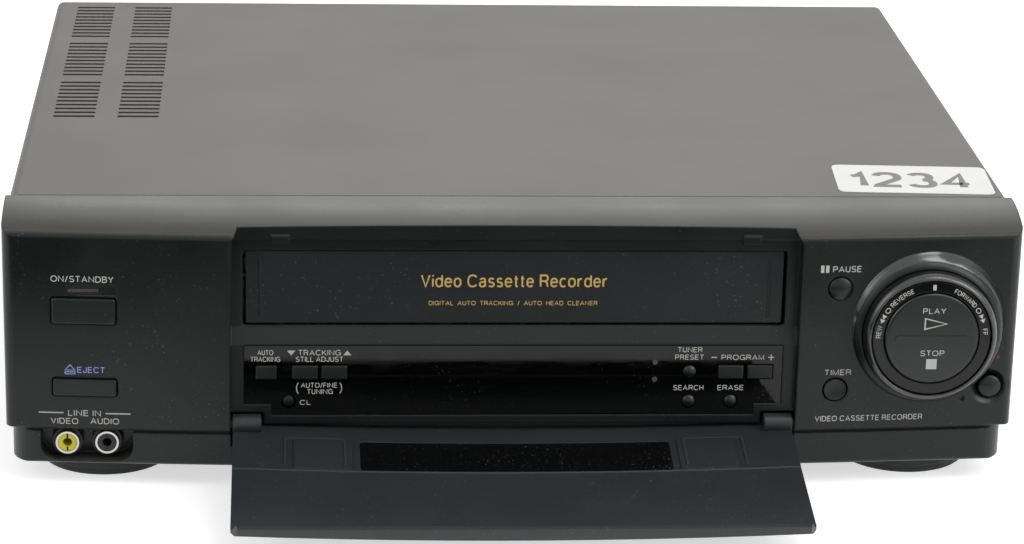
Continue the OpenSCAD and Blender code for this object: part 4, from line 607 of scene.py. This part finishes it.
class RECORDER_OT_case_finish(RecorderOperator):
    """Finishes the cover, the frame, the rear panel, the feet and the screws"""
    bl_idname = "recorder.case_finish"
    bl_label = "Case finishes"

    def make(self, colours, sizes, studio):
        dress(painted("cover_paint", colours.cover, 0.42, 0.36), "top_cover")
        dress(painted("frame_paint", (0.03, 0.031, 0.032), 0.5), "bottom_frame")
        dress(rolled("rear_zinc", (0.36, 0.365, 0.36), 0.42, 0.35), "rear_panel")
        dress(turned("screw_plating", (0.3, 0.3, 0.29), (0, 0, 0), 0.35), "cover_screws")
        dress(moulded("foot_moulding", (0.022, 0.024, 0.025), 0.5, dust=0.3), "front_feet", "rear_feet")
        dress(moulded("socket_moulding", (0.012, 0.012, 0.013), 0.45, dust=0.1), "scart_sockets", "mains_inlet")
        dress(rolled("tin_plate", (0.68, 0.69, 0.68), 0.3, 0.3), "tuner_box")


class RECORDER_OT_deck_finish(RecorderOperator):
    """Finishes the tape deck and its carriage"""
    bl_idname = "recorder.deck_finish"
    bl_label = "Deck finishes"

    def make(self, colours, sizes, studio):
        drum, capstan = pivot("drum_spin"), pivot("capstan_spin")
        dress(rolled("deck_zinc", (0.58, 0.58, 0.55), 0.36), "deck_plate", "carriage_brackets")
        dress(rolled("holder_zinc", (0.5, 0.51, 0.51), 0.38, 0.15), "cassette_holder")
        dress(turned("drum_alloy", (0.8, 0.81, 0.82), drum, 0.18, 0.35), "drum_base", "head_drum")
        dress(turned("capstan_steel", (0.62, 0.62, 0.63), capstan, 0.2, 0.6), "capstan")
        dress(rolled("ground_steel", (0.62, 0.62, 0.64), 0.22, 0.0), "supply_guide", "takeup_guide", "pinch_arm")
        dress(rubbery("black_rubber", (0.012, 0.012, 0.012)), "pinch_roller", "drive_belt")
        dress(natural("white_acetal", (0.74, 0.72, 0.66)),
              "supply_reel", "takeup_reel", "idler_gear", "clutch_pulley")
        dress(natural("grey_acetal", (0.16, 0.17, 0.18)), "idler_arm", "carriage_sliders")
        dress(rolled("head_plating", (0.62, 0.54, 0.38), 0.22, 0.0), "fixed_heads")
        dress(rolled("motor_can", (0.5, 0.5, 0.51), 0.3, 0.1), "loading_motor")


class RECORDER_OT_circuit_finish(RecorderOperator):
    """Finishes the boards, the display tube and the transformer"""
    bl_idname = "recorder.circuit_finish"
    bl_label = "Circuit finishes"

    def make(self, colours, sizes, studio):
        brown, copper, tin = (0.30, 0.17, 0.06), (0.36, 0.24, 0.09), (0.55, 0.55, 0.53)
        dress(laminate("paper_laminate", brown, copper, tin), "front_boards", "main_board", "power_board")
        dress(laminate("green_laminate", (0.03, 0.16, 0.06), (0.02, 0.1, 0.04), tin), "capstan_stator")
        dress(polished("display_glass", (0.02, 0.035, 0.03), 0.05, dust=0.1), "fluorescent_display")
        dress(laminations("transformer_iron", (0.16, 0.15, 0.14)), "transformer")


class RECORDER_OT_front_lettering(RecorderOperator):
    """Prints the words and marks on both sides of the moulded front, and paints the shade in the slits of its
    sockets
    """
    bl_idname = "recorder.front_lettering"
    bl_label = "Front lettering"

    def make(self, colours, sizes, studio):
        front = surface("front_panel")
        pale = printed("pale_ink", colours.ink)
        left = Print("print_front_left", front)
        left.word("ON/STANDBY", -152.0, 78.6, 2.3, 21.9)
        left.word("LINE IN", -152.0, 28.6, 2.3, 11.6)
        left.word("VIDEO", -159.1, 25.5, 2.25, 9.7)
        left.word("AUDIO", -144.9, 25.7, 2.25, 10.1)
        for x in (-163.8, -140.2):
            left.add(strip([(-4.4, 0), (4.4, 0)], 0.42), x, 28.6)
        left.ink("case", pale, sizes)
        self.socket_slits(sizes)
        blue = Print("print_eject", front)
        blue.add(strip([(-1.7, 0), (1.7, 0), (0, 1.95)], 0.34, True), -156.8, 44.75)
        blue.add(strip([(-1.75, -0.38), (1.75, -0.38), (1.75, 0.38), (-1.75, 0.38)], 0.3, True), -156.8, 43.7)
        blue.word("EJECT", -149.4, 44.9, 2.25, 9.7)
        blue.ink("case", printed("blue_ink", colours.blue_ink), sizes)
        right = Print("print_front_right", front)
        for x in (107.7, 109.5):
            right.add(block(1.2, 2.7), x, 83.4)
        right.word("PAUSE", 116.6, 83.3, 2.3, 10.3)
        right.word("TIMER", 115.2, 44.5, 2.15, 9.7)
        right.word("VIDEO CASSETTE RECORDER", 127.4, 26.9, 2.1, 39.2)
        right.ink("case", pale, sizes)

    def socket_slits(self, sizes):
        """Two black marks in the face of each phono socket, above and below its bore: painted shade where its
        slits open
        """
        dark = printed("slit_painted_shade", (0.004, 0.004, 0.004))
        bores_z = middle("jack_shells").z
        for name in ("video_jack", "audio_jack"):
            slits = Print(f"{name}_slit", surface(name))
            for way in (-1, 1):
                slits.add(block(0.64, 1.5), middle(name).x, bores_z + way * 2.45)
            slits.ink("case", dark, sizes, "jack_black")


class RECORDER_OT_window_lettering(RecorderOperator):
    """Prints the words and marks on the smoked window"""
    bl_idname = "recorder.window_lettering"
    bl_label = "Window lettering"

    def make(self, colours, sizes, studio):
        marks = Print("print_window", surface("display_window"))
        for text, x, z, height, width in (
                ("AUTO", -88.3, 50.5, 1.95, 5.6), ("TRACKING", -88.3, 48.0, 1.95, 10.5),
                ("TRACKING", -69.2, 50.5, 2.1, 15.1), ("STILL ADJUST", -69.2, 48.0, 1.95, 16.8),
                ("AUTO/FINE", -69.3, 38.2, 1.9, 12.9), ("TUNING", -69.0, 35.8, 1.9, 9.2),
                ("CL", -74.2, 31.7, 1.85, 3.8), ("TUNER", 62.5, 51.5, 1.95, 8.8),
                ("PRESET", 62.4, 48.7, 1.95, 10.3), ("SEARCH", 62.4, 37.1, 1.95, 10.9),
                ("PROGRAM", 81.5, 48.6, 1.95, 15.3), ("ERASE", 77.6, 37.1, 1.95, 9.4)):
            marks.word(text, x, z, height, width)
        marks.add(filled([(-1.5, 0.9), (0, -0.95), (1.5, 0.9)]), -79.2, 50.4)
        marks.add(filled([(-1.45, -0.9), (1.45, -0.9), (0, 0.9)]), -59.4, 50.4)
        for x, line in ((71.3, [(-1, 0), (1, 0)]), (91.7, [(-1.1, 0), (1.1, 0)]), (91.7, [(0, 0.2), (0, 1.1)]),
                        (91.7, [(0, -1.1), (0, -0.2)])):
            marks.add(strip(line, 0.4), x, 48.6)
        for side in (-1, 1):
            bracket = [(side * p[0], p[1]) for p in arc_points(-2.6, 0, 3.4, -37, 37, 8)]
            marks.add(strip(bracket, 0.32), -69.3 + side * 7.2, 37.1)
        marks.ink("case", printed("window_ink", colours.ink), sizes)


class RECORDER_OT_dial_marks(RecorderOperator):
    """Prints the shuttle scale, and the play and stop marks on the disc"""
    bl_idname = "recorder.dial_marks"
    bl_label = "Dial marks"

    def make(self, colours, sizes, studio):
        pale = printed("dial_ink", colours.ink)
        x, z = DIAL.x / MM, DIAL.z / MM
        scale = Print("print_scale", surface("dial_scale"))
        radius = 19.1
        for text, angle, width in (("REW", 173, 4.6), ("REVERSE", 127, 9.6), ("FORWARD", 53, 9.8), ("FF", 7, 2.4)):
            scale.bent_word(text, radius, angle, 1.75, width, (x, z))
        for angle, arrow in ((158.5, [(0.8, 0.95), (-0.8, 0), (0.8, -0.95)]),
                             (22, [(-0.8, 0.95), (-0.8, -0.95), (0.8, 0)])):
            for step in (-0.85, 0.85):
                a = math.radians(angle) + step / radius
                scale.add(filled(arrow), x + radius * math.cos(a), z + radius * math.sin(a), a - math.pi / 2)
        for angle in (147.5, 32.5):
            a = math.radians(angle)
            loop = [(0.8 * math.cos(t), 0.95 * math.sin(t)) for t in (math.tau * i / 16 for i in range(16))]
            scale.add(strip(loop, 0.28, True), x + radius * math.cos(a), z + radius * math.sin(a), a)
        scale.add(block(1.2, 2), x, z + 18.9)
        scale.ink("case", pale, sizes)
        disc = Print("print_disc", surface("play_stop_disc"))
        disc.word("PLAY", x + 0.3, z + 10.4, 2.1, 8.2)
        disc.add(strip([(-3.7, -2.0), (4.1, 0), (-3.7, 2.0)], 0.5, True), x + 0.9, z + 5.6)
        disc.word("STOP", x + 0.4, z - 5.4, 2.1, 8.6)
        disc.add(block(3.8, 3.8), x + 0.3, z - 9.5)
        disc.ink("play_stop", pale, sizes)


class RECORDER_OT_flap_lettering(RecorderOperator):
    """Prints the gold words on the cassette flap"""
    bl_idname = "recorder.flap_lettering"
    bl_label = "Flap lettering"

    def make(self, colours, sizes, studio):
        gold = Print("print_flap", surface("cassette_flap"))
        gold.word("Video Cassette Recorder", -0.45, 75.9, 4.8, 66.2, 0.125)
        gold.word("DIGITAL  AUTO  TRACKING  /  AUTO  HEAD  CLEANER", -0.7, 67.6, 1.65, 59.9, 0.13)
        gold.ink("flap", printed("gold_ink", colours.gold_ink), sizes)


class RECORDER_OT_dial_surround(RecorderOperator):
    """Raises the moulded front round the shuttle ring: wide over the dial, narrow beside the record key"""
    bl_idname = "recorder.dial_surround"
    bl_label = "Dial surround"

    widest_at, record_at, pinch_reach = math.radians(70), math.radians(318), math.radians(22)
    narrow, widening, pinch = 1.9, 3.1, 0.6
    crest_behind_ring, gap_to_ring, sunk = 6.7, 0.7, 0.9
    turns, slope_steps = 96, 10

    def make(self, colours, sizes, studio):
        front = surface("front_panel")
        low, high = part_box("shuttle_ring")
        inner = (high.x - low.x) / 2 / MM + self.gap_to_ring
        crest = low.y / MM + self.crest_behind_ring
        points, faces = [], []
        for i in range(self.turns):
            a = math.tau * i / self.turns
            wide = ((1 + math.cos(a - self.widest_at)) / 2) ** 1.2
            notch = math.exp(-((a - self.record_at) / self.pinch_reach) ** 2)
            outer = inner + self.narrow + self.widening * wide - self.pinch * notch
            level = front.ray_cast(self.at(outer, -1000, a), Vector((0, 1, 0)))[0].y / MM
            profile = []
            for step in range(self.slope_steps + 1):
                t = step / self.slope_steps
                rise = math.sin(t * math.pi / 2) ** 1.2
                profile.append((outer + (inner + 0.4 - outer) * t, level + (crest - level) * rise))
            profile += [(inner + 0.1, crest + 0.15), (inner, crest + 0.5), (inner, level + self.sunk),
                        (outer, level + self.sunk)]
            points += [self.at(r, y, a) for r, y in profile]
        size = len(profile)
        for i in range(self.turns):
            this, after = i * size, (i + 1) % self.turns * size
            for k in range(size):
                up = (k + 1) % size
                faces.append((this + k, after + k, after + up, this + up))
        mesh = bpy.data.meshes.new("dial_surround")
        mesh.from_pydata(points, [], faces)
        mesh.shade_smooth()
        material = moulded("surround_moulding", colours.front, 0.17, 0.95, dust=0.8, edge_mm=0.2)
        piece("dial_surround", mesh, "case", material)

    def at(self, radius, y, angle):
        """A point round the dial's axis, from millimetres"""
        return Vector((DIAL.x + radius * MM * math.cos(angle), y * MM, DIAL.z + radius * MM * math.sin(angle)))


class RECORDER_OT_door_beads(RecorderOperator):
    """Raises the two beads on the inside of the door, one on each side of its pane"""
    bl_idname = "recorder.door_beads"
    bl_label = "Door beads"

    length, bend, width, height = 18.5, 1.6, 0.9, 0.32 * MM

    def make(self, colours, sizes, studio):
        # The beads take the door's colour half as light again: a painted highlight along them
        material = moulded("bead_painted_highlight", tuple(c * 1.5 for c in colours.door), 0.36, dust=0.6, edge_mm=0.2)
        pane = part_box("door_window")[1] / MM
        back = pane.y + 0.9
        tip, corner = back - self.length, back - self.bend
        beads = Print("door_beads", surface("control_door"), "top")
        for side in (-1, 1):
            near, far = side * (pane.x + 5.2), side * (pane.x + 26.3)
            start, end = (180, 0) if side > 0 else (0, 180)
            beads.add(strip([(near, tip), (near, corner),
                             *arc_points(near + side * self.bend, corner, self.bend, start, 90, 4),
                             *arc_points(far - side * self.bend, corner, self.bend, 90, end, 4),
                             (far, tip)], self.width))
        beads.settle("door", material, self.height, 0.2 * MM)


class RECORDER_OT_small_marks(RecorderOperator):
    """Adds the red dot by the record key, and a dark ring on the timer key: painted shade of the small pit at its
    middle
    """
    bl_idname = "recorder.small_marks"
    bl_label = "Small marks"

    def make(self, colours, sizes, studio):
        dot, record = Print("record_dot", surface("front_panel")), middle("record_button")
        dot.add(filled(arc_points(0, 0, 0.55, 0, 330, 11)), record.x + 2.4, record.z + 11.0)
        dot.ink("case", printed("red_ink", (0.32, 0.02, 0.03)), sizes)
        pip, timer = Print("timer_pip", surface("timer_button")), middle("timer_button")
        # A dark ring where the timer key has a small pit: painted shade
        pip.add(strip(arc_points(0, 0, 0.75, 0, 345, 23), 0.4, True), timer.x, timer.z)
        pip.ink("timer", printed("pip_painted_shade", (0.003, 0.003, 0.003)), sizes)


class RECORDER_OT_rear_lettering(RecorderOperator):
    """Prints the words over the sockets on the rear panel"""
    bl_idname = "recorder.rear_lettering"
    bl_label = "Rear lettering"

    def make(self, colours, sizes, studio):
        words = Print("print_rear", surface("rear_panel"), "back")
        for text, x, z in (("AERIAL", -95, 52.5), ("IN", -82, 48), ("OUT", -108, 48), ("LINE 1", 52, 49.5),
                           ("LINE 2", -14, 49.5), ("AC IN", 146, 46)):
            words.word(text, x, z, 2.6)
        words.ink("case", printed("rear_ink", (0.01, 0.01, 0.012)), sizes)


class RECORDER_OT_cover_seam(RecorderOperator):
    """Darkens the joint between the ledge of the front and the cover: a painted shadow where the cover tucks under
    the ledge
    """
    bl_idname = "recorder.cover_seam"
    bl_label = "Cover seam"

    half_length, step, width, behind_front = 176, 8, 1.1, 26.1

    def make(self, colours, sizes, studio):
        seam_shadow = Print("cover_seam", surface("top_cover"), "top")
        line = [(x, 0) for x in range(-self.half_length, self.half_length + 1, self.step)]
        seam_shadow.add(strip(line, self.width), 0, FRONT_Y / MM + self.behind_front)
        # A near-black strip along the joint: painted shadow
        seam_shadow.settle("case", printed("seam_painted_shadow", (0.012, 0.01, 0.011)), 0.02 * MM, 0.03 * MM)


class RECORDER_OT_stock_label(RecorderOperator):
    """Sticks the stock label with its number on the cover"""
    bl_idname = "recorder.stock_label"
    bl_label = "Stock label"

    corner, thickness, ink = 3, 0.12 * MM, 0.04 * MM
    digits_height, digits_width, digits_weight = 18.5, 45.5, 0.17

    def make(self, colours, sizes, studio):
        cover = surface("top_cover")
        x, y = 147.8, FRONT_Y / MM + 47.4
        paper = Finish("label_paper", colours.label, 0.55).mottle(16, -0.05).grain(0.4, 0.01).done()
        label = Print("stock_label", cover, "top")
        edge = [Vector(p) for p in rounded(sizes.label_width / MM, sizes.label_depth / MM, self.corner)]
        inner = [p * 0.94 for p in edge]
        count = len(edge)
        faces = [(i, (i + 1) % count, count + (i + 1) % count, count + i) for i in range(count)]
        faces.append(tuple(range(count, 2 * count)))
        label.add((edge + inner, faces), x, y, sizes.label_turn)
        label.settle("case", paper, self.thickness, 0.02 * MM)
        digits = Print("stock_number", cover, "top")
        digits.word(sizes.label_number, x - 1, y - 1, self.digits_height, self.digits_width, self.digits_weight,
                    sizes.label_turn)
        grey = printed("label_ink", (0.23, 0.225, 0.22))
        digits.settle("case", grey, self.thickness + self.ink, 0.02 * MM - self.thickness)


class RECORDER_OT_studio(RecorderOperator):
    """Builds the floor, the lamps, the sky and the camera"""
    bl_idname = "recorder.studio"
    bl_label = "Studio"

    def make(self, colours, sizes, studio):
        self.floor()
        self.dark_cards(studio.card_gap)
        self.sky(studio.sky)
        self.lamp("key_lamp", studio.key, (1.15, -0.85, 0.85), 0.9)
        self.lamp("fill_lamp", studio.fill, (-1.3, -0.7, 0.9), 0.9)
        self.lamp("back_lamp", studio.back, (0.2, 1.3, 1.2), 1.2)
        self.lamp("top_lamp", studio.top, (0.5, -0.75, 1.3), 0.5)
        self.camera()
        bpy.context.scene.view_settings.view_transform = "Standard"

    def sheet(self, name, corners, z, material):
        """A flat sheet that belongs to the studio"""
        mesh = bpy.data.meshes.new(name)
        mesh.from_pydata([(x, y, z) for x, y in corners], [], [tuple(range(len(corners)))])
        mesh.materials.append(material)
        made = bpy.data.objects.new(name, mesh)
        bpy.context.scene.collection.objects.link(made)
        return made

    def dark_cards(self, gap):
        """Black cloth on the floor in front, which only reflections show.

        The large card darkens the front towards its top, and the small one deepens the black of the window.
        """
        cloth = Finish("black_cloth", (0.004, 0.004, 0.004), 1.0, specular=0.0).done()
        left, right, near, far = -1.6, 0.34, FRONT_Y - gap, FRONT_Y - 1.5
        large = [(left, far), (right, far), (right, near), (0.1, near), (-0.3, near + 50 * MM),
                 (left, near + 50 * MM)]
        left, right, far = -0.125, 0.103, cad_box[0][1] - 49 * MM
        small = [(left, far), (right, far), (right, far + 18 * MM), (left, far + 18 * MM)]
        for name, corners in (("dark_card", large), ("window_card", small)):
            card = self.sheet(name, corners, 2 * MM, cloth)
            card.visible_camera = card.visible_diffuse = card.visible_shadow = False

    def floor(self):
        """Pale paper that shows white and keeps the recorder's shadow"""
        material = bpy.data.materials.new("floor_paper")
        material.use_nodes = True
        tree = material.node_tree
        tree.nodes.clear()
        lit = add_node(tree, "ShaderNodeBsdfDiffuse", {"Color": (0.8, 0.8, 0.8, 1)})
        glow = add_node(tree, "ShaderNodeEmission", {"Strength": self.seen(tree, 0.62, 0.0)})
        both = add_node(tree, "ShaderNodeAddShader", {0: lit.outputs[0], 1: glow.outputs[0]})
        add_node(tree, "ShaderNodeOutputMaterial", {"Surface": both.outputs[0]})
        self.sheet("floor", [(-6, -6), (6, -6), (6, 6), (-6, 6)], 0, material)

    def seen(self, tree, seen_value, lighting_value):
        """One value for what the camera, reflections and glass show, and another for what lights the recorder"""
        rays = add_node(tree, "ShaderNodeLightPath").outputs
        total = rays["Is Camera Ray"]
        for ray in ("Is Glossy Ray", "Is Transmission Ray"):
            total = add_node(tree, "ShaderNodeMath", {0: total, 1: rays[ray]}, operation="MAXIMUM").outputs[0]
        pick = {"Value": total, "To Min": lighting_value, "To Max": seen_value}
        return add_node(tree, "ShaderNodeMapRange", pick).outputs["Result"]

    def sky(self, strength):
        """White all round where it is seen, and plainer where it lights"""
        world = bpy.data.worlds.new("studio_sky")
        world.use_nodes = True
        tree = world.node_tree
        background = tree.nodes["Background"]
        background.inputs["Color"].default_value = (1, 1, 1, 1)
        tree.links.new(self.seen(tree, 1.0, strength), background.inputs["Strength"])
        bpy.context.scene.world = world

    def lamp(self, name, power, place, size):
        """A square lamp that points at the recorder's middle"""
        light = bpy.data.lights.new(name, "AREA")
        light.energy = power
        light.size = size
        made = bpy.data.objects.new(name, light)
        made.location = place
        aim = Vector((0, 0, 50 * MM)) - Vector(place)
        made.rotation_euler = aim.to_track_quat("-Z", "Y").to_euler()
        bpy.context.scene.collection.objects.link(made)

    def camera(self):
        """Stands where the photograph was taken from, which was found from the recorder's own corners"""
        place = Vector((-82.31, FRONT_Y / MM - 1130.23, 465.36)) * MM
        yaw, pitch, roll = 0.0712, 0.3273, 0.0238
        focal_px, width_px = 3400.9, 1024
        ahead = Vector((math.sin(yaw) * math.cos(pitch), math.cos(yaw) * math.cos(pitch), -math.sin(pitch)))
        level = Vector((math.cos(yaw), -math.sin(yaw), 0))
        upward = level.cross(ahead)
        right = level * math.cos(roll) + upward * math.sin(roll)
        up = upward * math.cos(roll) - level * math.sin(roll)
        data = bpy.data.cameras.new("photo_camera")
        data.sensor_width = 36
        data.lens = focal_px / width_px * data.sensor_width
        data.clip_start = 0.05
        made = bpy.data.objects.new("photo_camera", data)
        made.matrix_world = Matrix.Translation(place) @ Matrix((right, up, -ahead)).transposed().to_4x4()
        bpy.context.scene.collection.objects.link(made)
        bpy.context.scene.camera = made


STEPS = (RECORDER_OT_front_finish, RECORDER_OT_case_finish, RECORDER_OT_deck_finish, RECORDER_OT_circuit_finish,
         RECORDER_OT_front_lettering, RECORDER_OT_window_lettering, RECORDER_OT_dial_marks,
         RECORDER_OT_flap_lettering, RECORDER_OT_dial_surround, RECORDER_OT_door_beads, RECORDER_OT_small_marks,
         RECORDER_OT_rear_lettering, RECORDER_OT_cover_seam, RECORDER_OT_stock_label, RECORDER_OT_studio)


class RECORDER_PT_sidebar(Panel):
    """Lists the steps of the dressing with the sizes and colours that they use"""
    bl_idname = "RECORDER_PT_sidebar"
    bl_label = "Recorder"
    bl_space_type = "VIEW_3D"
    bl_region_type = "UI"
    bl_category = "Recorder"

    def draw(self, context):
        scene = context.scene
        for group in (scene.recorder_colours, scene.recorder_sizes, scene.recorder_studio):
            box = self.layout.box()
            for key in group.__annotations__:
                box.prop(group, key)
        for step in STEPS:
            self.layout.operator(step.bl_idname)


GROUPS = (("recorder_colours", RecorderColours), ("recorder_sizes", RecorderSizes),
          ("recorder_studio", RecorderStudio))


def register():
    for key, group in GROUPS:
        bpy.utils.register_class(group)
        setattr(bpy.types.Scene, key, PointerProperty(type=group))
    for item in (*STEPS, RECORDER_PT_sidebar):
        bpy.utils.register_class(item)


def unregister():
    for item in (RECORDER_PT_sidebar, *reversed(STEPS)):
        bpy.utils.unregister_class(item)
    for key, group in reversed(GROUPS):
        delattr(bpy.types.Scene, key)
        bpy.utils.unregister_class(group)


def main():
    """Dresses the recorder"""
    register()
    for step in STEPS:
        group, action = step.bl_idname.split(".")
        getattr(getattr(bpy.ops, group), action)()


if __name__ == "__main__":
    main()
